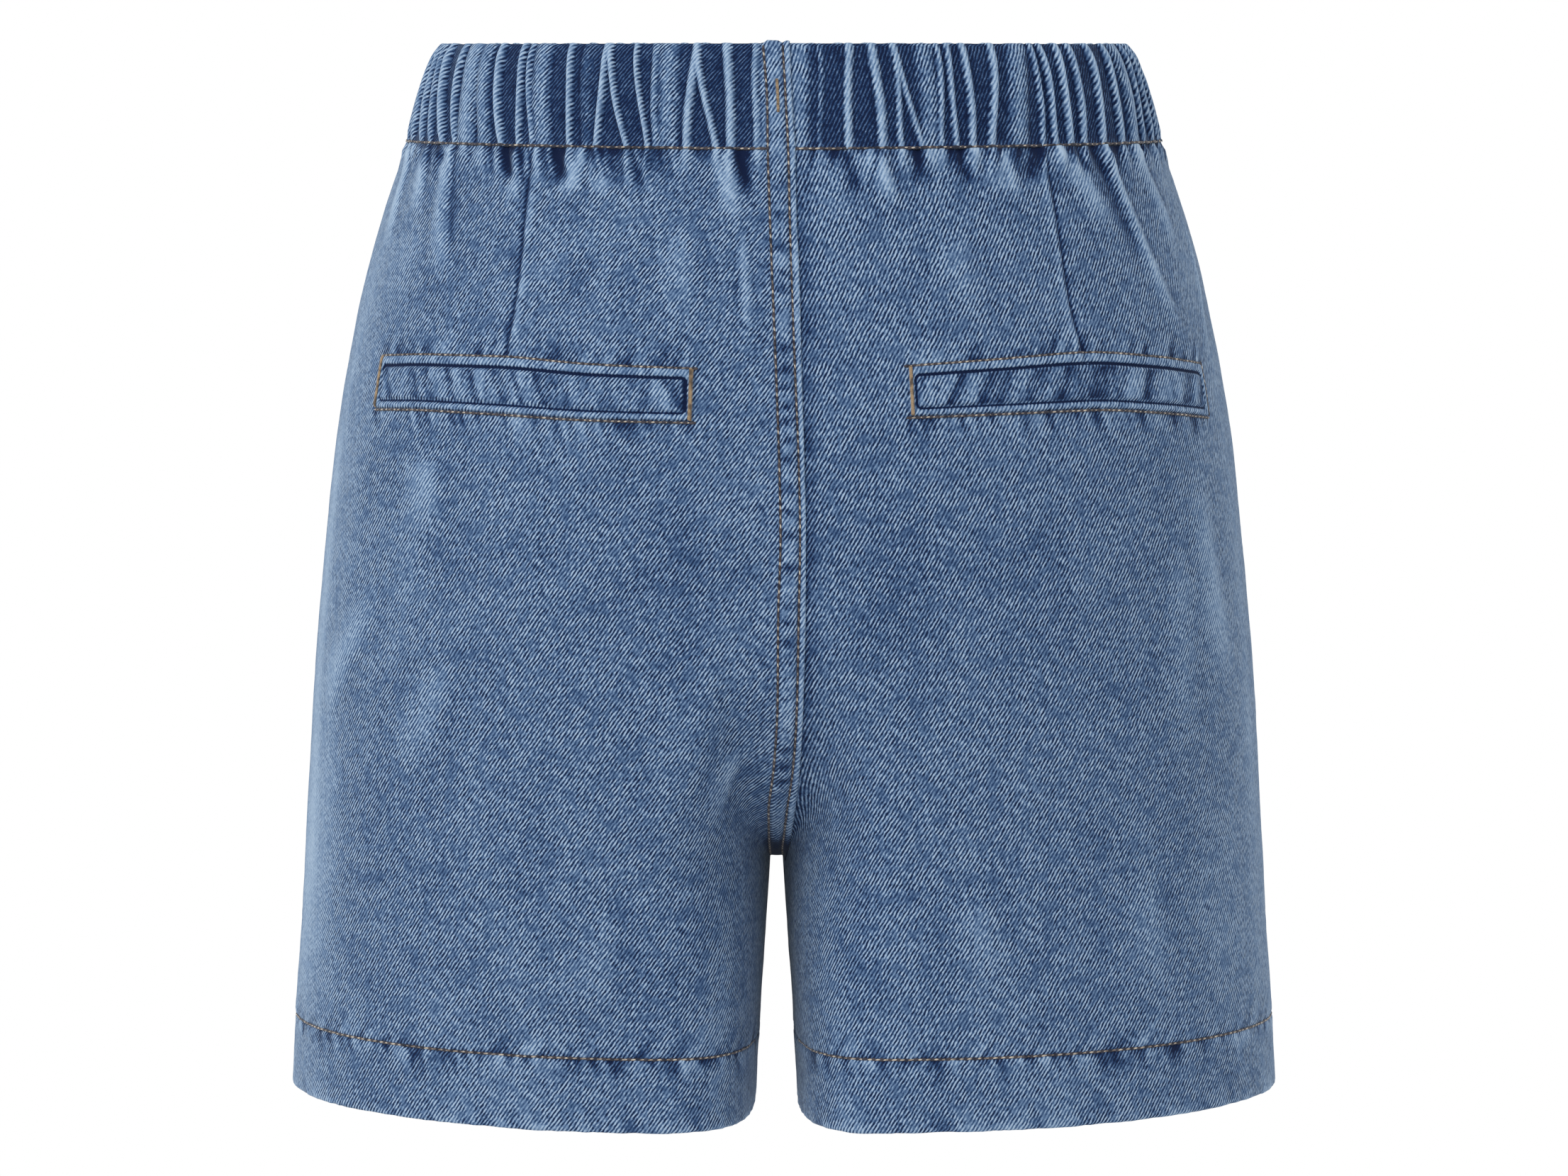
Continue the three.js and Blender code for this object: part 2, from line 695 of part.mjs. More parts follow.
for (const [name, side] of Object.entries(SIDES)) {
  const backPanel = panelGrid(side, "back");
  const frontPanel = panelGrid(side, "front");
  const backBand = bandGrid(side, "back", GATHERS[name]);
  const frontBand = bandGrid(side, "front", GATHERS[OPPOSITE[name]]);
  backGrids.panel[name] = backPanel;
  backGrids.band[name] = backBand;
  group.add(
    clothMesh(`back_panel_${name}`, panel(side, "back", backPanel), DENIM),
    clothMesh(`front_panel_${name}`, panel(side, "front", frontPanel), DENIM),
    clothMesh(`waistband_back_${name}`, waistband(side, "back", backBand), DENIM_BAND),
    clothMesh(`waistband_front_${name}`, waistband(side, "front", frontBand), DENIM_BAND),
    clothMesh(`pocket_welt_${name}`, pocketWelt(side, POCKET_ROWS[name], backPanel), DENIM_WELT),
  );
}

group.add(clothMesh("centre_back_seam", centreSeamStrip(backGrids), DENIM_SEAM));

export default group;
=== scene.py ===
"""Denim pull-on shorts, filled out as they are when worn: cloth, seams and stitching.

Sizes are in millimetres while the cloth is worked out and in metres in the finished meshes.
Heights are drops below the waist's top edge. Bearings go round the body in degrees: 0 is the
centre back, 90 the left side seam, 180 the centre front and -90 the right side seam.
"""

import logging
import math
from dataclasses import dataclass, field, replace
from enum import Enum
from typing import Sequence

import bmesh
import bpy
import numpy as np
from mathutils import Matrix, Vector


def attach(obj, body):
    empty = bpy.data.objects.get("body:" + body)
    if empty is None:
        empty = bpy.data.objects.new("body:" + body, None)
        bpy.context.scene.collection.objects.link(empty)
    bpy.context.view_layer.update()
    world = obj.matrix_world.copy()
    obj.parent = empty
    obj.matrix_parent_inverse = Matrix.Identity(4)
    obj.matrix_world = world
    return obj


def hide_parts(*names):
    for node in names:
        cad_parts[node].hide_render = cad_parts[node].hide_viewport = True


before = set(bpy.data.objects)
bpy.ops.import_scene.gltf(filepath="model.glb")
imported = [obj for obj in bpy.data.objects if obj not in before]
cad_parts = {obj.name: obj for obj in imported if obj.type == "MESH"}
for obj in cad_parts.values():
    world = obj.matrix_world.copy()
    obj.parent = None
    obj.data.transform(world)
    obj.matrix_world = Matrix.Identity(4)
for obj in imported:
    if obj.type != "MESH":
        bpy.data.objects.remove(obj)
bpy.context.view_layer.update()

log = logging.getLogger("shorts")

MM = 0.001
TOP_EDGE_HEIGHT = 20.0
BAND_HEIGHT = 38.0
NEAR_WAIST_DROP = 46.0
CROTCH_DROP = 299.0
HEM_DROP = 388.8
HEM_TURN_DROP = 361.5
HALF_SEAM = 0.08
GRAIN_UNIT = 100.0
GRAIN_BEARING = 32.0
MIDDLING = 0.47


class Face(Enum):
    """Back or front of the garment, by the sign of its depth."""

    BACK = 1
    FRONT = -1


class Side(Enum):
    """The wearer's left or right, by the sign of X."""

    LEFT = 1
    RIGHT = -1


class SmoothTable:
    """Smooth curves, without overshoot, through the columns of a short table."""

    def __init__(self, columns: Sequence[str], rows: Sequence[Sequence[float]]) -> None:
        """Keeps the knots and works out a slope for each.

        Args:
            columns: Names of the columns, the first being the one looked up by.
            rows: The table's rows, in rising order of the first column.
        """
        table = np.array(rows, dtype=float)
        self.knots = table[:, 0]
        self.values = {name: table[:, i] for i, name in enumerate(columns) if i}
        self.slopes = {name: self._slopes(value) for name, value in self.values.items()}

    def _slopes(self, values: np.ndarray) -> np.ndarray:
        """Slope at each knot of a curve that keeps within its knots."""
        chords = np.diff(values) / np.diff(self.knots)
        slopes = np.concatenate([chords[:1], chords])
        before, after = chords[:-1], chords[1:]
        rising = before * after > 0
        total = np.where(rising, before + after, 1.0)
        slopes[1:-1] = np.where(rising, 2 * before * after / total, 0.0)
        return slopes

    def __call__(self, name: str, at: np.ndarray) -> np.ndarray:
        """Values of one column.

        Args:
            name: The column.
            at: Where to look, in the unit of the first column.

        Returns:
            An array of the same shape as ``at``.
        """
        at = np.asarray(at, dtype=float)
        i = np.clip(np.searchsorted(self.knots, at, side="right") - 1, 0, len(self.knots) - 2)
        span = self.knots[i + 1] - self.knots[i]
        t = np.clip((at - self.knots[i]) / span, 0, 1)
        value, slope = self.values[name], self.slopes[name]
        stay = 1 - t
        return (
            (1 + 2 * t) * stay**2 * value[i]
            + t * stay**2 * span * slope[i]
            + t**2 * (3 - 2 * t) * value[i + 1]
            - t**2 * stay * span * slope[i + 1]
        )


def smooth_step(low: float, high: float, value: np.ndarray) -> np.ndarray:
    """A soft step from 0 at ``low`` to 1 at ``high``."""
    t = np.clip((value - low) / (high - low), 0, 1)
    return t * t * (3 - 2 * t)


def bell(value: np.ndarray, width: float) -> np.ndarray:
    """A bell of height 1 that is down to about a third at ``width`` from its middle."""
    return np.exp(-((value / width) ** 2))


def running(steps: np.ndarray) -> np.ndarray:
    """Distances from the first place, from the steps between places along the last axis."""
    start = np.zeros((*steps.shape[:-1], 1))
    return np.concatenate([start, steps.cumsum(axis=-1)], axis=-1)


def by_row(goals: np.ndarray, known: np.ndarray, values: np.ndarray) -> np.ndarray:
    """Looks up each row's goals on that row's own curve of values over known places."""
    return np.array([np.interp(*row) for row in zip(goals, known, values)])


SECTION_COLUMNS = (
    "drop", "side", "back", "front", "peak", "gap", "outer", "inner", "lift", "shift",
)
SECTION_ROWS = (
    (0, 124.2, 91, 87, 0, 0, 2.1, 2.2, 0, 0),
    (3, 126.8, 92.5, 88.5, 0, 0, 2.1, 2.2, 0, 0),
    (9, 129.9, 95, 91, 0, 0, 2.1, 2.2, 0.3, 0),
    (22, 134.4, 98.5, 94, 0, 0, 2.1, 2.2, 0.8, 0),
    (38, 138.4, 102, 96.5, 0, 0, 2.1, 2.2, 1.3, 0),
    (64, 147.1, 109, 101, 0, 0, 2.15, 2.2, 0.8, 0),
    (90, 154.3, 114.5, 104, 0, 0, 2.2, 2.2, 0.4, 0),
    (116, 159.8, 118.5, 106, 0.5, 0, 2.25, 2.2, 0.2, 0),
    (142, 164.2, 120.5, 106.5, 3, 0, 2.25, 2.2, 0, 0),
    (170, 167.7, 121, 106, 8, 0, 2.2, 2.2, 0, 0),
    (200, 170.7, 119.5, 104.5, 17, 0, 2.15, 2.2, 0, 0),
    (240, 173.8, 115, 102, 31, 0, 2.1, 2.2, 0.2, 0.6),
    (270, 175.6, 110.5, 100, 43, 1.0, 2.05, 2.2, 0.6, 1.8),
    (299, 177.3, 107, 98.5, 52, 2.2, 2, 2.45, 1.1, 2.8),
    (330, 179.1, 105, 97.5, 54, 4.2, 2, 3.1, 1.7, 2.8),
    (360, 181.1, 103.5, 96.5, 55, 6.2, 2, 3.5, 2.8, 2.8),
    (388.8, 182.5, 103, 96, 55, 7.8, 2, 3.7, 3.8, 2.8),
)


@dataclass
class Form:
    """The filled-out form of the garment, as depth over distance from the centre."""

    sections: SmoothTable = field(
        default_factory=lambda: SmoothTable(SECTION_COLUMNS, SECTION_ROWS)
    )
    seat_drop: dict = field(default_factory=lambda: {Face.BACK: 200.0, Face.FRONT: 225.0})
    bridge_round: float = 14.0
    bridge_share: float = 0.6
    side_lift_power: float = 1.4
    samples: int = 241

    def deepest(self, face: Face, drop: np.ndarray) -> np.ndarray:
        """Greatest depth of a row."""
        return self.sections(face.name.lower(), drop)

    def seam_depth(self, face: Face, drop: np.ndarray) -> np.ndarray:
        """Depth of the centre seam, which runs down the seat and under it to the crotch."""
        start = self.seat_drop[face]
        run = np.clip((drop - start) / (CROTCH_DROP - start), 0, 1)
        curve = self.deepest(face, np.full_like(drop, start)) * np.sqrt(1 - run**2)
        deepest = self.deepest(face, drop)
        return np.where(drop <= start, deepest, np.minimum(curve, deepest))

    def depth(self, face: Face, across: np.ndarray, drop: np.ndarray) -> np.ndarray:
        """Depth of the form at distances from the centre.

        Args:
            face: Back or front.
            across: Distances from the centre.
            drop: Drops, of a shape that goes with ``across``.

        Returns:
            Depths, never negative.
        """
        names = ("side", "peak", "gap", "outer", "inner")
        size = {name: self.sections(name, drop) for name in names}
        deepest = self.deepest(face, drop)
        reach = np.clip((across - size["peak"]) / (size["side"] - size["peak"]), 0, 1)
        outside = deepest * (1 - reach ** size["outer"]) ** (1 / size["outer"])
        width = np.maximum(size["peak"] - size["gap"], 1e-6)
        reach = np.clip((size["peak"] - across) / width, 0, 1)
        leg = deepest * (1 - reach ** size["inner"]) ** (1 / size["inner"])
        seam = self.seam_depth(face, drop)
        blend = np.minimum(deepest - seam, seam * self.bridge_share)
        blend = np.maximum(np.minimum(self.bridge_round, blend), 1e-6)
        near = np.clip(blend - np.abs(leg - seam), 0, None) / blend
        bridged = np.maximum(leg, seam) + near**2 * blend / 4
        inside = np.where(drop < CROTCH_DROP, bridged, leg)
        return np.where(across >= size["peak"], outside, inside)

    def place(self, side: Side, face: Face, across: np.ndarray, drop: np.ndarray) -> np.ndarray:
        """Places on the form, as an array of X, Y, Z in millimetres."""
        share = across / self.sections("side", drop)
        depth = np.maximum(self.depth(face, across, drop), HALF_SEAM)
        x = side.value * np.maximum(across, HALF_SEAM) + self.sections("shift", drop) * (1 - share)
        z = TOP_EDGE_HEIGHT - drop + self.sections("lift", drop) * share**self.side_lift_power
        return np.stack([x, face.value * depth, z], axis=-1)

    def across_at(self, face: Face, shares: np.ndarray, drops: np.ndarray) -> np.ndarray:
        """Distances from the centre at even shares of each row's running length.

        Args:
            face: Back or front.
            shares: Shares of the way from the inner edge to the side seam.
            drops: One drop a row.

        Returns:
            Rows by shares of distances from the centre.
        """
        start = np.where(drops < CROTCH_DROP, 0.0, self.sections("gap", drops))[:, None]
        end = self.sections("side", drops)[:, None]
        step = (1 - np.cos(np.linspace(0, math.pi, self.samples))) / 2
        across = start + (end - start) * step
        depth = self.depth(face, across, drops[:, None] + 0 * across)
        runs = running(np.hypot(np.diff(across, axis=1), np.diff(depth, axis=1)))
        return by_row(shares * runs[:, -1:], runs, across)

    def by_bearing(self, bearing: float, drop: float) -> np.ndarray:
        """A place on the form by its bearing, in millimetres."""
        angle = math.radians(bearing)
        face = Face.BACK if math.cos(angle) >= 0 else Face.FRONT
        side = Side.LEFT if math.sin(angle) >= 0 else Side.RIGHT
        at = np.array(float(drop))
        return self.place(side, face, self.sections("side", at) * abs(math.sin(angle)), at)


FORM = Form()


@dataclass
class Patch:
    """Rows and columns of finished places with their normals, grain, and wear with painted shading.
    """

    surface: np.ndarray
    normal: np.ndarray
    grain: np.ndarray
    wear: np.ndarray

    def at(self, row: float, column: float) -> tuple[np.ndarray, np.ndarray, np.ndarray, float]:
        """Looks up a place between rows and columns.

        Args:
            row: Row, with its fraction.
            column: Column, with its fraction.

        Returns:
            Surface place, normal, grain, and wear with painted shading.
        """
        r = int(np.clip(row, 0, self.surface.shape[0] - 2))
        c = int(np.clip(column, 0, self.surface.shape[1] - 2))
        down, along = np.clip(row - r, 0, 1), np.clip(column - c, 0, 1)

        def blend(grid: np.ndarray) -> np.ndarray:
            upper = grid[r, c] * (1 - along) + grid[r, c + 1] * along
            lower = grid[r + 1, c] * (1 - along) + grid[r + 1, c + 1] * along
            return upper * (1 - down) + lower * down

        normal = blend(self.normal)
        return (
            blend(self.surface), normal / np.linalg.norm(normal), blend(self.grain),
            float(blend(self.wear)),
        )


@dataclass(frozen=True)
class Rows:
    """The rows of a cloth that turns over an edge: where each lies and how far it has turned."""

    drops: np.ndarray
    turns: np.ndarray
    radius: float
    edge_up: bool

    @property
    def outside(self) -> slice:
        """The rows that lie on the outside, in rising order of drop."""
        rows = np.flatnonzero(self.turns < 1e-9)
        return slice(rows[0], rows[-1] + 1)

    def distinct(self) -> tuple[np.ndarray, np.ndarray]:
        """Picks one row for each drop.

        Returns:
            The first row at each drop, in rising order, and each row's number among them.
        """
        order = np.argsort(self.drops, kind="stable")
        firsts = order[np.concatenate([[True], np.diff(self.drops[order]) > 1e-6])]
        known = self.drops[firsts]
        return firsts, np.array([int(np.argmin(np.abs(known - drop))) for drop in self.drops])

    def grain(self, across: np.ndarray, steps: np.ndarray) -> np.ndarray:
        """Grain of a cloth that is laid in these rows.

        Args:
            across: Distances across the cloth.
            steps: Distances between its rows.

        Returns:
            Places on the flat cloth, in millimetres, with drops as heights on the outside.
        """
        walk = running(steps)
        walk += self.drops[self.outside.start] - walk[self.outside.start]
        return np.stack([across, -walk[:, None] + 0 * across], axis=-1)


def turned_rows(outside: np.ndarray, inside: np.ndarray, radius: float, edge_up: bool) -> Rows:
    """Rows of a cloth that goes over its upper or its lower edge.

    Args:
        outside: Drops of the outside rows, rising.
        inside: Drops of the inside rows, rising.
        radius: Radius of the turning.
        edge_up: True if the cloth turns at its upper edge.

    Returns:
        All rows, in the order of a walk over the cloth that comes down the outside.
    """
    over = np.linspace(0, math.pi, 9)[1:-1]
    if edge_up:
        drops = [inside[::-1], np.full(len(over), outside[0]), outside]
        turns = [np.full(len(inside), math.pi), over[::-1], np.zeros(len(outside))]
    else:
        drops = [outside, np.full(len(over), outside[-1]), inside[::-1]]
        turns = [np.zeros(len(outside)), over, np.full(len(inside), math.pi)]
    return Rows(np.concatenate(drops), np.concatenate(turns), radius, edge_up)


def turn_over(form: np.ndarray, normal: np.ndarray, rows: Rows) -> tuple[np.ndarray, np.ndarray]:
    """Turns rows of places over an edge.

    Args:
        form: Places on the form, rows by columns.
        normal: Their outward normals.
        rows: The rows.

    Returns:
        The turned places, and the way that their outside faces.
    """
    upright = np.array([0, 0, 1 if rows.edge_up else -1])
    turns = rows.turns[:, None, None]
    direction = normal * np.cos(turns) + upright * np.sin(turns)
    direction /= np.linalg.norm(direction, axis=-1, keepdims=True)
    base = form - normal * rows.radius + direction * rows.radius
    return base, direction


@dataclass
class ClothGrid:
    """Rows and columns of places on one piece of cloth.

    Rows run down the outside of the garment and columns go from the inner edge to the side seam.
    """

    side: Side
    face: Face
    rows: Rows
    bearing: np.ndarray
    run: np.ndarray
    form: np.ndarray
    base: np.ndarray
    direction: np.ndarray
    grain: np.ndarray
    rise: np.ndarray
    wear: np.ndarray

    def finish(self) -> Patch:
        """The finished patch, with folds and turnings."""
        return Patch(
            self.base + self.direction * self.rise[..., None], self.direction, self.grain, self.wear
        )

    def cell(self, bearing: float, drop: float) -> tuple[float, float]:
        """Row and column, with their fractions, of a place on the outside.

        Args:
            bearing: Bearing without its sign, counted from the centre of this face.
            drop: Drop on the outside of the cloth.

        Returns:
            Row and column.
        """
        first = self.rows.outside.start
        drops = self.rows.drops[self.rows.outside]
        row = first + float(np.interp(drop, drops, np.arange(len(drops))))
        upper = int(min(row, self.rows.outside.stop - 2))
        down = row - upper
        line = self.bearing[upper] * (1 - down) + self.bearing[upper + 1] * down
        return row, float(np.interp(bearing, line, np.arange(len(line))))


def lay_cloth(side: Side, face: Face, rows: Rows, shares: np.ndarray) -> ClothGrid:
    """Lays a plain cloth on one quarter of the form.

    Args:
        side: Left or right.
        face: Back or front.
        rows: The cloth's rows.
        shares: Shares of each row's running length, one for each column.

    Returns:
        The grid, without folds and with middling wear.
    """
    drops = rows.drops
    across = FORM.across_at(face, shares, drops)
    drop = np.repeat(drops[:, None], len(shares), axis=1)
    form = FORM.place(side, face, across, drop)
    firsts, nearest = rows.distinct()
    known = drops[firsts]
    sorted_form = form[firsts]
    along = np.gradient(sorted_form, axis=1)
    down = np.gradient(sorted_form, known, axis=0)
    normal = np.cross(along, down) * side.value * face.value
    seam_rows = known < CROTCH_DROP
    normal[seam_rows, 0, 0] = 0
    normal[~seam_rows, 0, 1] = 0
    normal[:, -1, 1] = 0
    normal[np.abs(known - CROTCH_DROP) < 1e-3, 0] = (0, 0, -1)
    normal /= np.linalg.norm(normal, axis=-1, keepdims=True)
    base, direction = turn_over(form, normal[nearest], rows)
    run = running(np.linalg.norm(np.diff(form, axis=1), axis=-1))
    bearing = np.degrees(np.arcsin(np.clip(across / FORM.sections("side", drop), -1, 1)))
    middle = by_row(np.full(len(drops), GRAIN_BEARING), bearing, run)[:, None]
    steps = np.hypot(np.diff(drops), np.diff(rows.turns) * rows.radius)
    grain = rows.grain((middle - run) * side.value * face.value, steps)
    return ClothGrid(
        side, face, rows, bearing, run, form, base, direction, grain,
        np.zeros(drop.shape), np.full(drop.shape, MIDDLING),
    )


@dataclass(frozen=True)
class Crease:
    """A soft ridge, or a trough where its rise is negative, between two places on the cloth.

    It is strongest by its first end where that lies on a seam, and fades out at its second. A raised
    one from a seam has a thin painted shadow along its steep side.
    """

    from_bearing: float
    from_drop: float
    to_bearing: float
    to_drop: float
    half_width: float
    rise: float
    wear: float = 0.0
    start_keep: float = 1.0
    bow: float = 0.0
    shadow: float = 0.14

    def press(self, grid: ClothGrid, rise: np.ndarray, wear: np.ndarray) -> None:
        """Adds the crease to a piece's rise, wear and painted shading.

        Args:
            grid: The piece.
            rise: The piece's rise, changed in place.
            wear: The piece's wear and painted shading, changed in place.
        """
        start = FORM.by_bearing(self.from_bearing, self.from_drop)
        end = FORM.by_bearing(self.to_bearing, self.to_drop)
        low, high = sorted((self.from_drop, self.to_drop))
        margin = self.half_width * 1.4 + abs(self.bow) + 6
        drops = grid.rows.drops
        rows = np.flatnonzero((drops > low - margin) & (drops < high + margin))
        if not len(rows):
            return
        rows = slice(rows[0], rows[-1] + 1)
        line = end - start
        length = float(np.linalg.norm(line))
        outward = (start + end) / 2 * (1, 1, 0)
        sideways = np.cross(line, outward)
        sideways /= np.linalg.norm(sideways)
        offset = grid.form[rows] - start
        share = np.clip(offset @ line / length**2, 0, 1)
        offset = offset - share[..., None] * line
        offset = offset - (self.bow * 4 * share * (1 - share))[..., None] * sideways
        turned = offset @ sideways > 0
        spread = self.half_width * np.where(turned, 1.3, 0.75) * (0.75 + 0.5 * share)
        away = np.linalg.norm(offset, axis=-1) / spread
        height = np.where(away < 1, 0.5 + 0.5 * np.cos(math.pi * np.minimum(away, 1)), 0)
        begin = self.start_keep + (1 - self.start_keep) * smooth_step(0, 0.35, share)
        height = height * begin * (1 - smooth_step(0.5, 1.0, share))
        rise[rows] += self.rise * height
        wear[rows] += self.wear * height
        # Painted shadow: a raised crease from a seam is darkened in a thin line along its steep
        # side, away from the light.
        if self.rise > 0 and self.start_keep > 0:
            foot = bell(away - 1.0, 0.2) * ~turned * begin
            wear[rows] -= self.shadow * self.rise * foot * (1 - smooth_step(0.4, 0.9, share))


def creases(rows: Sequence[Sequence[float]]) -> list[Crease]:
    """Creases from the rows of a table, a little bowed. Those away from the waist start softly."""
    found = []
    for i, row in enumerate(rows):
        _, from_drop, _, to_drop, *_ = row
        start_keep = 1.0 if from_drop < NEAR_WAIST_DROP else 0.0
        bow = 0.06 * (to_drop - from_drop) * math.sin(2.4 * i + 0.7)
        found.append(Crease(*row, start_keep, bow))
    return found


# Ridges of the gathered casing: bearing at the top edge and at the foot seam, half width, how far
# it stands out, how pale it is worn, and how far it runs on below the seam.

GATHER_COLUMNS = ("top", "foot", "half_width", "rise", "tone", "run_on")
LEFT_GATHERS = (
    (4.6, 4.2, 1.7, 1.7, 0.85, 10),
    (9.3, 7.8, 2.2, 2.2, 1.0, 14),
    (14.4, 14.6, 2.1, 2.3, 1.0, 12),
    (14.4, 10.2, 1.7, 2.3, 1.0, 16),
    (19.2, 17.6, 4.6, 1.5, 0.62, 12),
    (21.4, 19.2, 1.6, 1.2, 0.7, 6),
    (24.7, 20.6, 1.3, 2.5, 1.0, 20),
    (29.9, 28.8, 1.7, 2.3, 1.0, 12),
    (29.9, 23.8, 1.5, 2.4, 1.0, 18),
    (33.6, 30.8, 2.6, 0.6, 0.25, 8),
    (37.0, 33.4, 1.6, 2.4, 1.0, 10),
    (43.4, 38.5, 4.6, 1.7, 0.66, 10),
    (45.6, 40.6, 1.5, 1.9, 0.8, 8),
    (47.6, 43.1, 1.6, 2.2, 0.95, 12),
    (53.6, 47.0, 2.0, 2.5, 1.0, 14),
    (57.6, 51.5, 3.9, 1.8, 0.7, 12),
    (62.0, 56.3, 6.0, 2.0, 0.8, 16),
    (66.5, 59.0, 1.8, 2.2, 0.9, 10),
    (73.0, 63.4, 2.3, 2.6, 1.0, 18),
    (77.4, 67.8, 2.2, 2.0, 0.8, 10),
    (81.4, 72.4, 2.4, 2.2, 0.9, 12),
    (86.4, 79.0, 2.6, 2.2, 0.85, 12),
    (92.0, 86.0, 2.4, 2.0, 0.8, 10),
)
RIGHT_GATHERS = (
    (5.6, 5.3, 1.4, 0.9, 0.4, 8),
    (10.3, 9.2, 2.0, 2.2, 1.0, 12),
    (14.2, 14.5, 2.3, 2.3, 1.0, 18),
    (17.6, 17.5, 1.5, 2.2, 0.95, 10),
    (17.6, 20.6, 1.5, 2.1, 0.95, 14),
    (22.8, 21.6, 4.4, 1.4, 0.6, 10),
    (25.3, 23.8, 1.5, 1.8, 0.85, 10),
    (27.1, 26.0, 1.5, 2.2, 0.95, 12),
    (30.2, 28.8, 1.9, 2.3, 1.0, 14),
    (35.5, 32.2, 2.1, 2.6, 1.0, 12),
    (40.4, 36.6, 5.0, 1.7, 0.66, 14),
    (44.4, 41.8, 1.6, 1.9, 0.8, 8),
    (46.3, 44.6, 1.8, 2.2, 0.95, 14),
    (50.3, 47.6, 2.1, 2.3, 1.0, 12),
    (54.1, 50.9, 2.2, 2.2, 0.9, 16),
    (59.4, 56.1, 2.4, 2.4, 1.0, 20),
    (65.5, 61.6, 2.5, 2.3, 0.95, 14),
    (70.8, 66.2, 4.8, 2.0, 0.85, 12),
    (75.6, 70.8, 2.3, 2.1, 0.85, 10),
    (80.6, 75.6, 2.5, 2.2, 0.9, 14),
    (86.0, 81.0, 2.5, 2.1, 0.85, 10),
    (92.0, 87.0, 2.4, 2.0, 0.8, 10),
)


@dataclass
class Gathers:
    """The ridges that the elastic pulls the casing into, and their ends below its seam, with painted
    shadows on their sides away from the light.
    """

    rows: Sequence[Sequence[float]]
    valley: float = -1.1
    valley_tone: float = 0.09
    quiet: float = 9.0
    tone_span: float = 0.78
    edge_tone: float = 0.22
    band_fade: float = 3.5
    bend: float = 0.35

    def press(self, grid: ClothGrid, strength: np.ndarray) -> None:
        """Gives the casing, or the top of a panel, its ridges, their pale wear and painted shadows
        beside them.

        Args:
            grid: The piece.
            strength: How much of the relief each row keeps.
        """
        drop = grid.rows.drops[:, None] + 0 * grid.bearing
        outside = np.minimum(drop, BAND_HEIGHT)
        below = np.maximum(drop - BAND_HEIGHT, 0)
        banded = np.clip(1 - below / self.band_fade, 0, 1)
        height, tone, shade, wedge_shadow = np.zeros((4, *drop.shape))
        for i, (top, foot, half_width, rise, worn, run_on) in enumerate(self.rows):
            slope = (foot - top) / BAND_HEIGHT
            line = top + slope * outside + np.clip(slope, -0.12, 0.12) * 0.6 * below
            at = by_row(line[:, 0], grid.bearing, grid.run)
            bend = self.bend * np.sin(grid.rows.drops / 7.0 + 2.1 * i)
            beyond = (line[:, 0] - grid.bearing[:, -1]).clip(0) * 2.2
            at = (at + bend + beyond)[:, None]
            lit = (at - grid.run) * grid.side.value
            spread = half_width * (1 + 0.05 * below) * np.where(lit > 0, 1.1, 0.72)
            across = (at - grid.run) * -grid.side.value / spread
            body = np.clip(1 - across**2, 0, 1)
            keep = np.clip(1 - below / run_on, 0, 1) ** 1.3
            height = np.maximum(height, rise * body**0.75 * keep)
            # Painted shade: a wide ridge is made darker towards its side away from the light.
            shade_slant = 1 - 0.3 * np.clip(across + 0.2, 0, 1) * (half_width > 3.5)
            tone = np.maximum(tone, worn * shade_slant * body**0.6 * keep)
            # Painted shadow: a thin dark line beside each narrow ridge, on its side away from the
            # light.
            shade += bell(across - 1.1, 0.28) * keep * (half_width < 3)
            # Painted shadow: a dark wedge below the seam beside each ridge, on its side away from
            # the light.
            narrow = 1.2 + 0.5 * math.sin(3.7 * i) - 0.06 * below
            away = (-lit - 0.9 * half_width - 1.0) / np.maximum(narrow, 0.4)
            length = 9 + 4 * math.sin(5.1 * i + 1)
            wedge_shadow = np.maximum(wedge_shadow, bell(away, 1) * np.clip(1 - below / length, 0, 1))
        calm = smooth_step(self.quiet - 2.5, self.quiet + 1.5, grid.run)
        depth = strength[:, None] * calm
        # The thin painted shadow lines darken the ridges' tone.
        tone = tone - self.edge_tone * np.clip(shade, 0, 1) * (1 - 0.6 * tone)
        grid.rise += depth * (height + self.valley * banded)
        band_tone = (self.valley_tone + self.tone_span * tone) * calm + 0.56 * (1 - calm)
        # Below the casing: pale wear at the ridges' feet and painted wedge shadows beside them.
        below_tone = grid.wear + (0.22 * tone - 0.3 * wedge_shadow) * depth
        grid.wear[:] = banded * band_tone + (1 - banded) * below_tone
        grid.rise -= 0.5 * wedge_shadow * depth * (1 - banded)
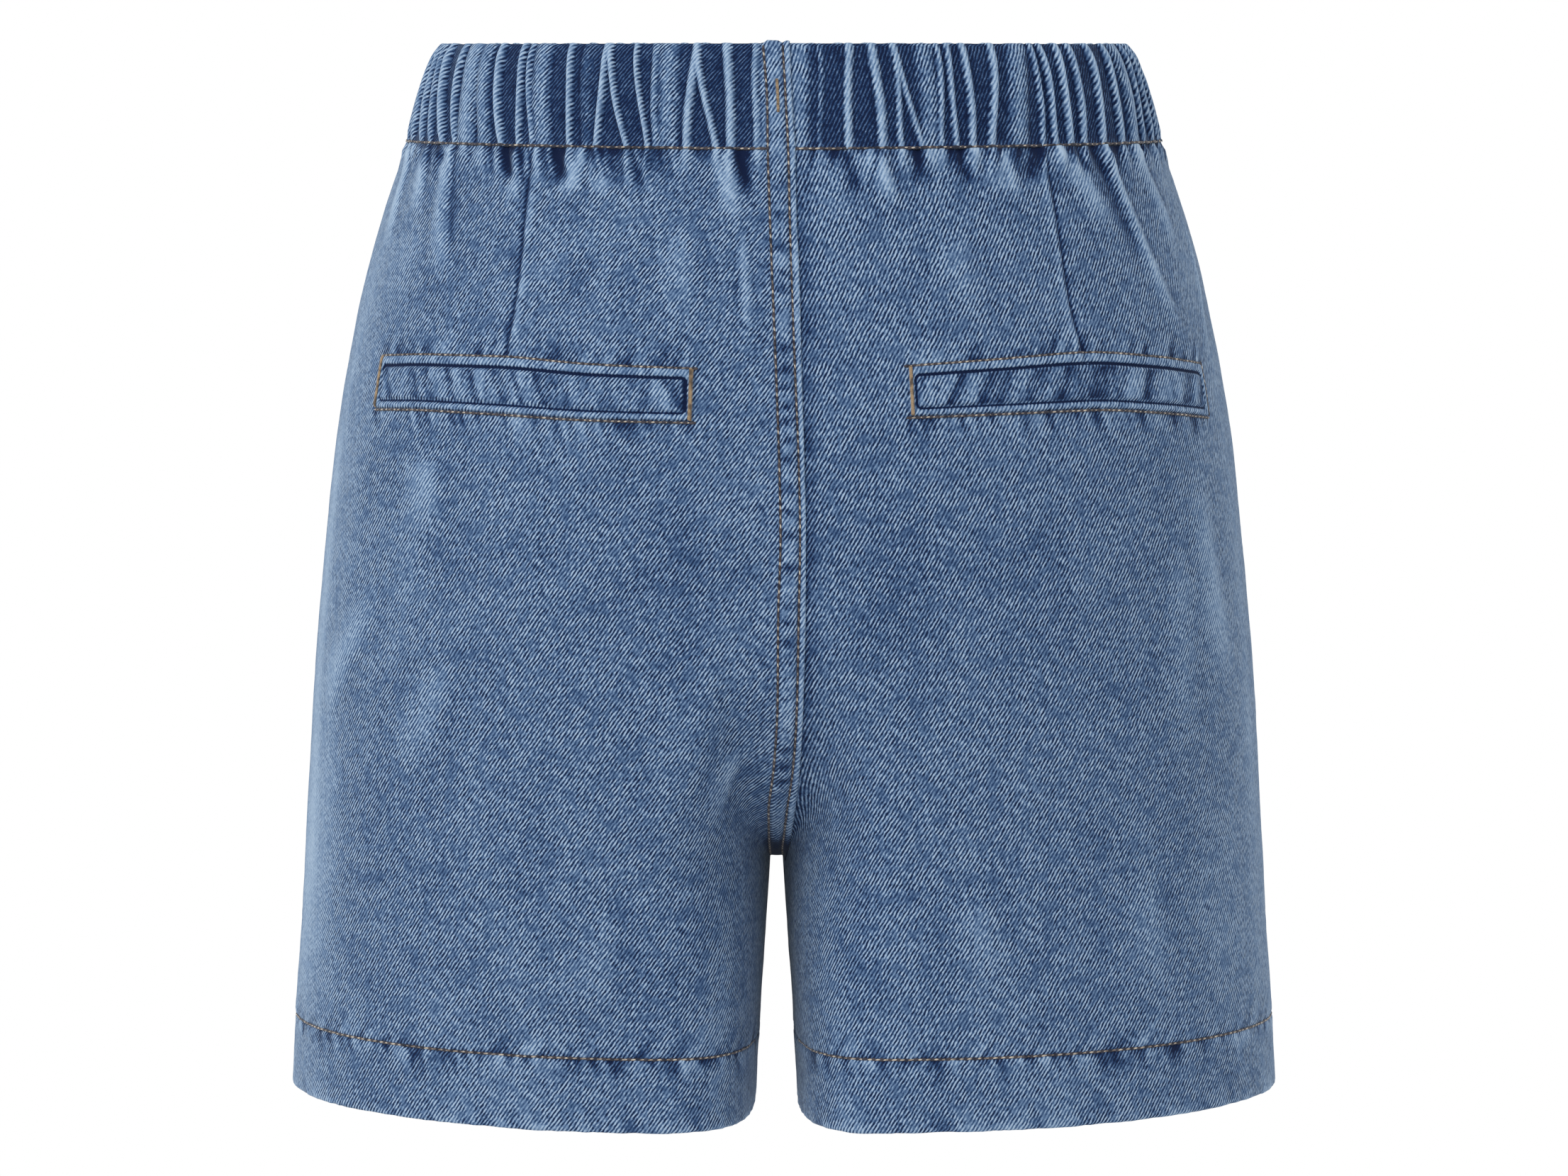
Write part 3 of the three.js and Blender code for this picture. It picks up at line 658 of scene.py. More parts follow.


# Folds of the panels: bearing and drop of both ends, half width, rise, and wear, which by the crotch
# is painted shade.

FOLD_ROWS = (
    (9, 38, 5.5, 66, 6, 1.4, 0.07),
    (6.6, 40, 3.9, 56, 2.6, -1.1, -0.2),
    (23.5, 38, 20, 56, 3.4, -1.1, -0.22),
    (27.5, 39, 25.5, 58, 6, 0.9, 0.1),
    (31.5, 39, 32, 58, 6, 1.3, 0.14),
    (35.8, 40, 32.4, 52, 4.2, -1.2, -0.26),
    (46, 39, 42, 52, 3.6, -1.2, -0.22),
    (43.5, 40, 41.5, 62, 4, 0.8, 0.12),
    (59.5, 40, 50.5, 92, 7, 1.4, 0.08),
    (62.9, 39, 60, 46, 4, -1.0, -0.2),
    (69, 40, 64, 66, 6, 0.9, 0.12),
    (76, 40, 72, 80, 7, 0.9, 0.1),
    (51.7, 144, 49.1, 178, 14, 0.9, 0.08),
    (57.6, 196, 77, 254, 15, 1.2, 0.07),
    (42.5, 216, 52, 268, 15, 0.9, 0.06),
    (6.7, 58, 5.2, 118, 3.2, 0.8, 0.12),
    (5.4, 56, 4.4, 112, 2.2, -0.5, -0.14),
    (15, 60, 14, 104, 12, 0.7, 0.06),
    (26, 70, 30, 100, 12, -0.6, -0.06),
    (3.8, 246, 7.5, 286, 9, 1.0, 0.08),
    (20, 300, 24, 352, 14, 0.8, 0.05),
    (-9.5, 40, -11.2, 56, 4, -1.3, -0.24),
    (-13.2, 38, -16.2, 60, 5, 1.3, 0.07),
    (-20, 39, -21.5, 54, 5, -0.9, -0.14),
    (-26.5, 38, -28.5, 52, 3.6, -1.2, -0.24),
    (-30.5, 39, -32, 56, 5, 0.8, 0.1),
    (-33.5, 40, -35.5, 58, 6, 1.0, 0.1),
    (-38.5, 39, -38, 52, 5, -0.9, -0.16),
    (-44.5, 38, -52.5, 72, 8, 1.3, 0.12),
    (-55.8, 38, -68, 116, 5.5, 1.5, 0.05),
    (-53.6, 42, -58.6, 84, 5, -1.1, -0.16),
    (-66, 40, -71, 82, 7, 1.0, 0.1),
    (-63, 150, -71.6, 244, 16, 1.1, 0.06),
    (-55.4, 162, -54.1, 262, 14, 0.8, 0.08),
    (-24, 62, -26, 100, 12, 0.6, 0.04),
    (-3.4, 256, -7, 290, 8, 0.9, 0.08),
    (-22, 296, -26, 350, 14, 0.8, 0.05),
    (-48, 290, -50, 350, 18, 0.7, 0.06),
    # Soft troughs beside the crotch, darkened as painted shade.
    (2.2, 238, 10.6, 400, 7.5, -1.6, -0.3),
    (-1.4, 262, -4.6, 420, 5, -0.4, -0.1),
    (82, 62, 71, 162, 3.6, 1.1, 0.26),
    (-80, 60, -74, 120, 4, 0.9, 0.14),
    (171, 38, 175, 64, 7, 1.3, 0.14),
    (163, 39, 159, 58, 6, -1.1, -0.2),
    (152, 38, 149, 60, 6, 1.2, 0.12),
    (141, 39, 144, 52, 5, -1.1, -0.2),
    (132, 38, 137, 66, 7, 1.1, 0.1),
    (121, 40, 128, 76, 8, 1.2, 0.06),
    (112, 40, 116, 66, 6, 0.9, 0.05),
    (118, 190, 104, 250, 15, 1.0, 0.03),
    (140, 150, 132, 200, 16, 0.7, 0.02),
    (166, 240, 146, 264, 9, 0.9, 0.02),
    (170, 256, 156, 284, 6, -0.7, -0.08),
    (-170, 38, -172, 60, 6, -1.3, -0.22),
    (-157, 38, -153, 60, 6, 1.2, 0.14),
    (-146, 39, -149, 54, 5, -1.1, -0.18),
    (-138, 38, -131, 70, 8, 1.2, 0.07),
    (-122, 38, -114, 90, 8, 1.3, 0.05),
    (-128, 42, -121, 84, 5, -1.0, -0.14),
    (-117, 176, -108, 244, 15, 1.0, 0.03),
    (-142, 160, -136, 214, 16, 0.7, 0.02),
    (-166, 240, -148, 268, 9, 0.9, 0.02),
    (-172, 258, -158, 286, 6, -0.8, -0.1),
)

# Broad worn and unworn places, and paler side edges that are partly wear and partly painted light,
# strongest on the left where the light falls, in the same columns: no rise, only wear and painted
# light.

WEAR_AND_LIGHT_ROWS = (
    (50, 150, 58, 250, 26, 0, 0.1),
    (70, 230, 76, 380, 26, 0, 0.12),
    (-64, 150, -68, 260, 24, 0, 0.1),
    (-66, 270, -60, 380, 30, 0, 0.08),
    (12, 150, 12, 240, 30, 0, -0.07),
    (-14, 140, -14, 250, 34, 0, -0.06),
    (-30, 160, -34, 230, 30, 0, -0.05),
    (8, 296, 10, 360, 24, 0, -0.06),
    (-8, 300, -9, 360, 22, 0, -0.05),
    (26, 60, 30, 100, 22, 0, 0.05),
    (-60, 60, -64, 100, 20, 0, 0.1),
    (60, 60, 66, 100, 20, 0, 0.08),
    # Paler side edges: partly wear and partly painted light, stronger on the left, which faces the
    # light.
    (74, 60, 78, 240, 15, 0, 0.16),
    (80, 150, 79, 388, 17, 0, 0.2),
    (-76, 80, -80, 388, 14, 0, 0.12),
    (6, 300, 8, 420, 14, 0, 0.14),
    (-6, 300, -8, 420, 14, 0, 0.08),
    (30, 340, 36, 420, 60, 0, 0.07),
    (-30, 350, -36, 420, 60, 0, 0.05),
)


def waver(seed: int, pitch: float, at: np.ndarray) -> np.ndarray:
    """A smooth uneven wave between about -1 and 1, with a turn every pitch or so."""
    rng = np.random.default_rng(seed)
    knots = np.concatenate([[0.0], (pitch * rng.uniform(0.6, 1.4, 900)).cumsum()])
    heights = rng.uniform(-1, 1, len(knots))
    at = np.asarray(at) - np.min(at)
    i = np.clip(np.searchsorted(knots, at, side="right") - 1, 0, len(knots) - 2)
    t = (at - knots[i]) / (knots[i + 1] - knots[i])
    t = np.clip(t * t * (3 - 2 * t), 0, 1)
    return heights[i] * (1 - t) + heights[i + 1] * t


def rumple(seed: int, pitch: float, grain: np.ndarray) -> np.ndarray:
    """Smooth uneven rumpling of a cloth, from its grain in millimetres."""
    rng = np.random.default_rng(seed)
    total = np.zeros(grain.shape[:-1])
    for _ in range(9):
        angle, phase = rng.uniform(0, math.pi), rng.uniform(0, 2 * math.pi)
        scale = 2 * math.pi / (pitch * rng.uniform(0.7, 1.6))
        run = grain[..., 0] * math.cos(angle) + grain[..., 1] * math.sin(angle)
        total += np.sin(run * scale + phase + 1.3 * np.sin(run * scale * 0.37 + 2 * phase))
    return total / 9


@dataclass(frozen=True)
class Roping:
    """Short uneven puckers that a seam pulls into the cloth beside it."""

    seed: int
    pitch: float
    reach: float
    lean: float
    rise: float
    wear: float
    bite: float = 1.15

    def press(
        self, along: np.ndarray, away: np.ndarray, rise: np.ndarray, wear: np.ndarray
    ) -> None:
        """Adds the puckers to a piece's rise and wear.

        Args:
            along: Distances along the seam.
            away: Distances from the seam. Nothing happens where they are negative.
            rise: The piece's rise, changed in place.
            wear: The piece's wear and painted shading, changed in place.
        """
        length = self.reach * (0.68 + 0.42 * waver(self.seed + 50, self.pitch * 1.6, along))
        leaning = along + self.lean * away
        wave = 0.8 * waver(self.seed, self.pitch / 2, leaning)
        wave = wave + 0.45 * waver(self.seed + 25, self.pitch / 4.4, leaning)
        fade = np.clip(1 - away / length, 0, 1) ** 1.1 * smooth_step(-0.4, 0.5, away)
        rise += self.rise * wave * fade
        wear += self.wear * np.where(wave > 0, 0.8, self.bite) * wave * fade


def placed(name: str, data: bpy.types.ID) -> bpy.types.Object:
    """Puts a new object with this mesh, camera or light in the scene."""
    made = bpy.data.objects.new(name, data)
    bpy.context.scene.collection.objects.link(made)
    return made


def make_cloth(
    name: str, patch: Patch, finishes: Sequence[bpy.types.Material], thickness: float,
) -> bpy.types.Object:
    """Makes a cloth piece with real thickness from a patch.

    Args:
        name: The piece's name.
        patch: Its outside.
        finishes: The outside material and the one for the wrong side.
        thickness: Thickness of the cloth in millimetres, laid inwards.

    Returns:
        The piece, with its grain as a UV map and its wear and painted shading as an attribute.
    """
    rows, columns = patch.surface.shape[:2]
    mesh = bpy.data.meshes.new(name)
    bm = bmesh.new()
    bmesh.ops.create_grid(bm, x_segments=columns - 1, y_segments=rows - 1, size=1)
    bm.to_mesh(mesh)
    bm.free()
    flat = np.empty(len(mesh.vertices) * 3)
    mesh.vertices.foreach_get("co", flat)
    flat = flat.reshape(-1, 3)
    column = np.rint((flat[:, 0] + 1) / 2 * (columns - 1)).astype(int)
    row = np.rint((1 - flat[:, 1]) / 2 * (rows - 1)).astype(int)
    mesh.vertices.foreach_set("co", (patch.surface[row, column] * MM).ravel())
    corners = np.empty(len(mesh.loops), dtype=int)
    mesh.loops.foreach_get("vertex_index", corners)
    grain = mesh.uv_layers.new(name="grain")
    grain.data.foreach_set("uv", (patch.grain[row, column][corners] / GRAIN_UNIT).ravel())
    wear = mesh.attributes.new("wear", "FLOAT", "POINT")
    wear.data.foreach_set("value", patch.wear[row, column])
    mesh.polygons.foreach_set("use_smooth", np.ones(len(mesh.polygons), dtype=bool))
    mesh.update()
    middle = mesh.polygons[len(mesh.polygons) // 2]
    corner = middle.vertices[0]
    if middle.normal.dot(Vector(patch.normal[row[corner], column[corner]])) < 0:
        mesh.flip_normals()
    for finish in finishes:
        mesh.materials.append(finish)
    piece = placed(name, mesh)
    shell = piece.modifiers.new("thickness", "SOLIDIFY")
    shell.thickness = thickness * MM
    shell.offset = -1
    shell.use_rim = True
    shell.material_offset = 1
    return piece


# Materials


class Tree:
    """The nodes of a material or world, added by type with their settings and inputs."""

    def __init__(self, owner: bpy.types.Material | bpy.types.World) -> None:
        """Empties the owner's tree."""
        owner.use_nodes = True
        self.owner = owner
        self.nodes = owner.node_tree.nodes
        self.links = owner.node_tree.links
        self.nodes.clear()

    def add(self, kind: str, settings: dict | None = None, **inputs: object) -> bpy.types.Node:
        """Adds a node.

        Args:
            kind: The node's type.
            settings: Its settings, set first. "stops" are a ramp's places and colours.
            inputs: Values or links of its sockets, by name with _ for a space or by s and number.

        Returns:
            The node.
        """
        node = self.nodes.new(kind)
        for key, value in (settings or {}).items():
            if key == "stops":
                ramp = node.color_ramp
                while len(ramp.elements) < len(value):
                    ramp.elements.new(0.5)
                for element, (place, colour) in zip(ramp.elements, value):
                    element.position = place
                    element.color = (*colour, 1)
            else:
                setattr(node, key, value)
        for key, value in inputs.items():
            numbered = key[0] == "s" and key[1:].isdigit()
            socket = node.inputs[int(key[1:]) if numbered else key.replace("_", " ")]
            if isinstance(value, Value):
                value = value.socket
            if isinstance(value, bpy.types.NodeSocket):
                self.links.new(value, socket)
            else:
                socket.default_value = value
        return node

    def value(
        self, kind: str, output: str, settings: dict | None = None, **inputs: object
    ) -> "Value":
        """Adds a node and wraps one of its outputs as a number."""
        return Value(self, self.add(kind, settings, **inputs).outputs[output])

    def noise(
        self, vector: object, scale: float, detail: float = 2, roughness: float = 0.5
    ) -> "Value":
        """A noise texture's grey value on a vector."""
        return self.value(
            "ShaderNodeTexNoise", "Fac", None,
            Vector=vector, Scale=scale, Detail=detail, Roughness=roughness,
        )

    def stretched(self, first: "Value", second: "Value") -> bpy.types.NodeSocket:
        """A vector from two numbers."""
        return self.add("ShaderNodeCombineXYZ", None, X=first, Y=second).outputs[0]

    def finished(self, **inputs: object) -> bpy.types.Material:
        """Ends the tree in a Principled surface with these inputs, and gives the material."""
        shader = self.add("ShaderNodeBsdfPrincipled", None, **inputs).outputs["BSDF"]
        self.add("ShaderNodeOutputMaterial", None, Surface=shader)
        return self.owner


class Value:
    """A number in a material. Sums on it add Math nodes."""

    def __init__(self, tree: Tree, socket: bpy.types.NodeSocket) -> None:
        """Wraps a socket."""
        self.tree = tree
        self.socket = socket

    def _math(self, operation: str, first: object, second: object) -> "Value":
        """Adds one Math node."""
        return self.tree.value(
            "ShaderNodeMath", "Value", {"operation": operation}, s0=first, s1=second
        )

    def __add__(self, other: object) -> "Value":
        """Sum."""
        return self._math("ADD", self, other)

    def __radd__(self, other: object) -> "Value":
        """Sum from the right."""
        return self._math("ADD", other, self)

    def __sub__(self, other: object) -> "Value":
        """Difference."""
        return self._math("SUBTRACT", self, other)

    def __rsub__(self, other: object) -> "Value":
        """Difference from the right."""
        return self._math("SUBTRACT", other, self)

    def __mul__(self, other: object) -> "Value":
        """Product."""
        return self._math("MULTIPLY", self, other)

    def __rmul__(self, other: object) -> "Value":
        """Product from the right."""
        return self._math("MULTIPLY", other, self)

    def __truediv__(self, other: object) -> "Value":
        """Quotient."""
        return self._math("DIVIDE", self, other)

    def sine(self) -> "Value":
        """Sine of the number."""
        return self._math("SINE", self, 0.0)

    def clamped(self) -> "Value":
        """The number kept between 0 and 1."""
        return self.tree.value("ShaderNodeClamp", "Result", None, Value=self)

    def stepped(self, low: float, high: float) -> "Value":
        """A soft step from 0 at low to 1 at high."""
        return self.tree.value(
            "ShaderNodeMapRange", "Result", {"interpolation_type": "SMOOTHSTEP"},
            Value=self, From_Min=low, From_Max=high,
        )


def linear(red: int, green: int, blue: int) -> tuple[float, float, float]:
    """A colour as the shader reads it, from the usual 0 to 255 steps."""
    return tuple(
        c / 12.92 if c <= 0.04045 else ((c + 0.055) / 1.055) ** 2.4
        for c in (red / 255, green / 255, blue / 255)
    )


@dataclass(frozen=True)
class Denim:
    """Washed twill, coloured from each piece's wear and painted shading: indigo in the hollows and
    worn pale on what stands out.
    """

    name: str
    shades: tuple[tuple[float, tuple[float, float, float]], ...]
    twill_pitch: float = 1.21
    twill_angle: float = 57.0
    contrast: float = 0.95
    mottle: float = 0.34
    specks: float = 0.12
    roughness: float = 0.9
    sheen: float = 0.18
    dash_size: tuple[float, float] = (0.62, 2.1)
    fleck_size: tuple[float, float] = (0.42, 0.7)
    cloud_pitch: float = 24.0
    patch_pitch: float = 6.5
    spot_pitch: float = 2.3
    relief: float = 0.16

    def make(self) -> bpy.types.Material:
        """Builds the material.

        Returns:
            A material that reads the piece's grain, and its wear and painted shading.
        """
        tree = Tree(bpy.data.materials.new(self.name))
        grain = tree.add("ShaderNodeUVMap", {"uv_map": "grain"}).outputs["UV"]
        axes = tree.add("ShaderNodeSeparateXYZ", None, Vector=grain)
        across = Value(tree, axes.outputs["X"]) * GRAIN_UNIT
        along = Value(tree, axes.outputs["Y"]) * GRAIN_UNIT
        wear = tree.value("ShaderNodeAttribute", "Fac", {"attribute_name": "wear"})
        turn = math.radians(self.twill_angle)
        rib = across * math.sin(turn) - along * math.cos(turn)
        run = across * math.cos(turn) + along * math.sin(turn)
        drift = tree.noise(grain, GRAIN_UNIT / 9, 2) - 0.5
        tremor = tree.noise(grain, GRAIN_UNIT / 1.9, 1) - 0.5
        phase = (rib + drift * 0.8 + tremor * 0.4) * (2 * math.pi / self.twill_pitch)
        line = phase.sine()
        width, length = self.dash_size
        dashes = tree.noise(tree.stretched(rib / width, run / length), 1, 1)
        dashes = dashes.stepped(0.3, 0.7) - 0.5
        width, length = self.fleck_size
        flecks = tree.noise(tree.stretched(rib / width, run / length), 1, 1, 0.6)
        clouds = tree.noise(grain, GRAIN_UNIT / self.cloud_pitch, 3, 0.6) - 0.5
        patches = tree.noise(grain, GRAIN_UNIT / self.patch_pitch, 3, 0.65)
        spots = tree.noise(grain, GRAIN_UNIT / self.spot_pitch, 2, 0.6) - 0.5
        shown = patches.stepped(0.3, 0.56) * 0.62 + 0.38
        pale = (wear * 2 - 1).clamped()
        deep = (1 - wear * 2).clamped()
        shown = shown * (1 - pale * 0.82) * (1 - deep * 0.4)
        specks = flecks.stepped(0.6, 0.74) * self.specks * (1 + deep * 1.2)
        twill = line * 0.48 + dashes * 0.54 + (flecks - 0.5) * 0.42
        shade = (
            wear
            + twill * shown * self.contrast
            + clouds * (self.mottle * 0.6)
            + (patches - 0.5) * (self.mottle * 0.75)
            + spots * (self.mottle * 1.2)
            + specks
        )
        stops = {"stops": self.shades}
        colour = tree.add("ShaderNodeValToRGB", stops, Fac=shade.clamped()).outputs["Color"]
        relief = tree.add(
            "ShaderNodeBump", None,
            Height=twill * shown, Strength=0.45, Distance=self.relief * MM,
        ).outputs["Normal"]
        return tree.finished(
            Base_Color=colour, Normal=relief, Roughness=self.roughness,
            Sheen_Weight=self.sheen, Sheen_Roughness=0.45, Sheen_Tint=(0.8, 0.92, 1.0, 1.0),
            Specular_IOR_Level=0.12,
        )


@dataclass(frozen=True)
class Thread:
    """Sewing thread, a little uneven in colour. Also makes the painted shadow under the stitches."""

    name: str
    dark: tuple[float, float, float]
    pale: tuple[float, float, float]

    def make(self) -> bpy.types.Material:
        """Builds the material.

        Returns:
            A material on the piece's own place.
        """
        tree = Tree(bpy.data.materials.new(self.name))
        place = tree.add("ShaderNodeTexCoord").outputs["Object"]
        uneven = tree.noise(place, 420, 1).stepped(0.35, 0.65)
        colour = tree.add(
            "ShaderNodeMix", {"data_type": "RGBA"},
            s0=uneven, s6=(*self.dark, 1), s7=(*self.pale, 1),
        ).outputs[2]
        return tree.finished(
            Base_Color=colour, Roughness=0.7, Sheen_Weight=0.3, Specular_IOR_Level=0.3
        )


OUTSIDE = Denim(
    "washed_denim",
    (
        (0.0, linear(14, 28, 60)),
        (0.25, linear(38, 64, 103)),
        (0.5, linear(79, 106, 142)),
        (0.75, linear(124, 151, 183)),
        (1.0, linear(172, 194, 216)),
    ),
)
INSIDE = Denim(
    "denim_wrong_side",
    (
        (0.0, linear(96, 112, 134)),
        (0.5, linear(146, 160, 176)),
        (1.0, linear(186, 196, 206)),
    ),
    twill_angle=-52.0,
    contrast=0.3,
    mottle=0.2,
    sheen=0.15,
)
SEWING = Thread("sewing_thread", linear(112, 100, 92), linear(204, 192, 174))
# Dark painted shadow that lies under each row of stitches.
STITCH_SHADOW = Thread("stitch_dent", linear(26, 30, 46), linear(70, 64, 68))
TACKING = Thread("bar_tack_thread", linear(98, 82, 66), linear(176, 150, 116))


# Sewing


@dataclass
class StitchRow:
    """A row of single stitches along a path on the cloth."""

    path: Sequence[tuple[np.ndarray, np.ndarray]]
    pitch: float = 3.0
    length: float = 2.2
    width: float = 0.55
    height: float = 0.4
    lift: float = 0.08
    tilt: float = 0.0
    start: float = 0.5
    thread: int = 0

    def places(self) -> list[Matrix]:
        """Where each stitch lies.

        Returns:
            One matrix for each stitch, for a ball of radius one.
        """
        points = np.array([point for point, _ in self.path])
        normals = np.array([normal for _, normal in self.path])
        run = running(np.linalg.norm(np.diff(points, axis=0), axis=1))

        def pick(grid: np.ndarray, place: float) -> np.ndarray:
            return np.array([np.interp(place, run, grid[:, axis]) for axis in range(3)])

        found = []
        for at in np.arange(self.pitch * self.start, run[-1], self.pitch):
            point, normal = pick(points, at), pick(normals, at)
            ahead = pick(points, min(at + 0.8, run[-1])) - pick(points, max(at - 0.8, 0))
            normal /= np.linalg.norm(normal)
            ahead -= normal * (ahead @ normal)
            ahead /= np.linalg.norm(ahead)
            beside = np.cross(normal, ahead)
            ahead = ahead * math.cos(self.tilt) + beside * math.sin(self.tilt)
            beside = np.cross(normal, ahead)
            centre = (point + normal * self.lift) * MM
            sizes = (self.length / 2 * MM, self.width / 2 * MM, self.height / 2 * MM)
            axes = [axis * size for axis, size in zip((ahead, beside, normal), sizes)]
            found.append(Matrix(np.column_stack([*axes, centre])).to_4x4())
        return found


def with_shadow_bed(path: Sequence[tuple[np.ndarray, np.ndarray]], **sizes: float) -> list[StitchRow]:
    """A row of stitches, and under it a dark bed of painted shadow where the thread and its needle
    holes would shade the cloth.
    """
    row = StitchRow(path, **sizes)
    shadow_bed = replace(
        row, length=row.pitch * 1.3, width=row.width + 0.6, lift=row.lift - 0.06,
        start=0.0, thread=1, tilt=0.0,
    )
    return [row, shadow_bed]


def sew(name: str, rows: Sequence[StitchRow], *threads: bpy.types.Material) -> bpy.types.Object:
    """Makes rows of stitches as one piece.

    Args:
        name: The piece's name.
        rows: Its rows.
        threads: Their materials, by the rows' number.

    Returns:
        The piece, riding on the garment.
    """
    ball = bmesh.new()
    bmesh.ops.create_uvsphere(ball, u_segments=6, v_segments=5, radius=1)
    corners = np.array([(*vertex.co, 1) for vertex in ball.verts])
    sides = [[vertex.index for vertex in face.verts] for face in ball.faces]
    ball.free()
    points, faces, numbers = [], [], []
    for row in rows:
        for place in row.places():
            start = len(points) * len(corners)
            faces += [[start + i for i in side] for side in sides]
            numbers += [row.thread] * len(sides)
            points.append(corners @ np.array(place).T)
    mesh = bpy.data.meshes.new(name)
    mesh.from_pydata(np.concatenate(points)[:, :3], [], faces)
    mesh.polygons.foreach_set("material_index", numbers)
    mesh.polygons.foreach_set("use_smooth", np.ones(len(mesh.polygons), dtype=bool))
    for thread in threads:
        mesh.materials.append(thread)
    piece = placed(name, mesh)
    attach(piece, "root")
    log.info("%s: %d triangles", name, sum(len(p.vertices) - 2 for p in mesh.polygons))
    return piece


def trace(
    grid: ClothGrid, patch: Patch, knots: Sequence[tuple[float, float]], step: float = 1.5
) -> list:
    """Places and normals along a path over one piece.

    Args:
        grid: The piece.
        patch: Its finished patch.
        knots: Bearings, without sign and counted from the centre of the face, and drops.
        step: About how far apart the places are, in millimetres.

    Returns:
        Places with their normals.
    """
    knots = np.array(knots, dtype=float)
    found = []
    for (b0, d0), (b1, d1) in zip(knots[:-1], knots[1:]):
        count = max(2, int(math.hypot((b1 - b0) * 2.4, d1 - d0) / step))
        for t in np.arange(count) / count:
            found.append(patch.at(*grid.cell(b0 + (b1 - b0) * t, d0 + (d1 - d0) * t))[:2])
    return found + [patch.at(*grid.cell(*knots[-1]))[:2]]


# The garment's pieces


def spaced(stops: Sequence[tuple[float, float]], end: float) -> np.ndarray:
    """Values from a first one to an end, with a step for each stretch."""
    found = []
    bounds = [stop for stop, _ in stops[1:]] + [end]
    for (start, step), until in zip(stops, bounds):
        count = max(1, round((until - start) / step))
        found.append(start + (until - start) * np.arange(count) / count)
    return np.concatenate([*found, [end]])


def share_of(face: Face, bearing: float, drop: float) -> float:
    """The share of a row's running length at which a bearing lies."""
    shares = np.linspace(0, 1, 500)
    across = FORM.across_at(face, shares, np.array([drop]))[0]
    side = float(FORM.sections("side", np.array([drop]))[0])
    return float(np.interp(math.sin(math.radians(bearing)) * side, across, shares))


def blurred(grid: np.ndarray, reach: int) -> np.ndarray:
    """A grid smoothed over a reach of cells each way."""
    for axis in (0, 1):
        margins = [(reach + 1, reach) if a == axis else (0, 0) for a in (0, 1)]
        padded = np.pad(grid, margins, "edge")
        total = padded.cumsum(axis=axis)
        upper = np.take(total, range(2 * reach + 1, total.shape[axis]), axis=axis)
        lower = np.take(total, range(total.shape[axis] - 2 * reach - 1), axis=axis)
        grid = (upper - lower) / (2 * reach + 1)
    return grid


DARTS = {
    Side.LEFT: SmoothTable(("drop", "bearing"), ((38, 40.2), (90, 38.0), (112, 38.4))),
    Side.RIGHT: SmoothTable(("drop", "bearing"), ((38, 42.1), (91, 40.9), (110, 42.0))),
}
STRIP_COLUMNS = ("drop", "left", "right", "left_row", "right_row")
STRIP = SmoothTable(
    STRIP_COLUMNS,
    (
        (0, 8.1, 2.0, 7.5, -0.5),
        (22, 6.6, 2.9, 5.9, 0.7),
        (38, 6.4, 4.0, 5.7, 1.5),
        (60, 5.6, 4.4, 5.0, 2.0),
        (81, 4.9, 5.4, 4.2, 2.7),
        (118, 3.4, 6.3, 2.7, 4.0),
        (147, 2.4, 7.2, 1.7, 5.2),
        (173, 1.9, 7.7, 1.2, 5.7),
        (201, 2.7, 7.6, 2.0, 5.2),
        (234, 3.0, 6.8, 2.3, 4.6),
        (257, 4.2, 5.7, 3.6, 3.3),
        (276, 6.1, 3.8, 5.5, 1.0),
        (286, 6.0, 2.5, 5.4, 0.0),
        (293, 5.6, 1.2, 5.1, -0.6),
        (299, 5.0, 0.4, 4.7, -0.3),
    ),
)
POCKETS = {
    Side.LEFT: SmoothTable(
        ("bearing", "top", "bottom"),
        (
            (11.4, 114.6, 132.7), (25, 113.5, 132.2), (39.5, 111.4, 130.8),
            (52, 111.6, 130.4), (64.8, 113.0, 131.4),
        ),
    ),
    Side.RIGHT: SmoothTable(
        ("bearing", "top", "bottom"),
        (
            (15.8, 113.8, 131.0), (28, 111.9, 130.2), (42, 110.2, 129.6),
            (56, 112.6, 131.8), (69.8, 116.4, 135.0),
        ),
    ),
}
QUARTERS = tuple((side, face) for face in Face for side in Side)
WAIST_STITCH_DROP = 37.7
HEM_STITCH_DROP = HEM_TURN_DROP + 0.4


def seam_grip(drops: np.ndarray, stitch_drop: float) -> np.ndarray:
    """How much relief rows keep near the waist's stitching, from the deep pull to full."""
    away = np.abs(drops - stitch_drop)
    return 0.35 + 0.65 * smooth_step(0.2, 4.5, away)


def lean_grain(grid: ClothGrid, degrees: float) -> None:
    """Leans a piece's grain, left and right ones opposite ways, as they are cut to the seat seam."""
    turn = math.radians(degrees) * grid.side.value * grid.face.value
    across, along = grid.grain[..., 0], grid.grain[..., 1]
    grid.grain = np.stack(
        [
            across * math.cos(turn) - along * math.sin(turn),
            across * math.sin(turn) + along * math.cos(turn),
        ],
        axis=-1,
    )


@dataclass
class Quarter:
    """One quarter of the garment: its half of the casing and its panel."""

    side: Side
    face: Face

    @property
    def name(self) -> str:
        """The part of the piece's name that says which quarter it is."""
        return f"{self.face.name.lower()}_{self.side.name.lower()}"

    @property
    def gathers(self) -> Sequence[Sequence[float]]:
        """The casing's ridges. A front quarter repeats the back quarter diagonally opposite."""
        return LEFT_GATHERS if self.side.value == self.face.value else RIGHT_GATHERS


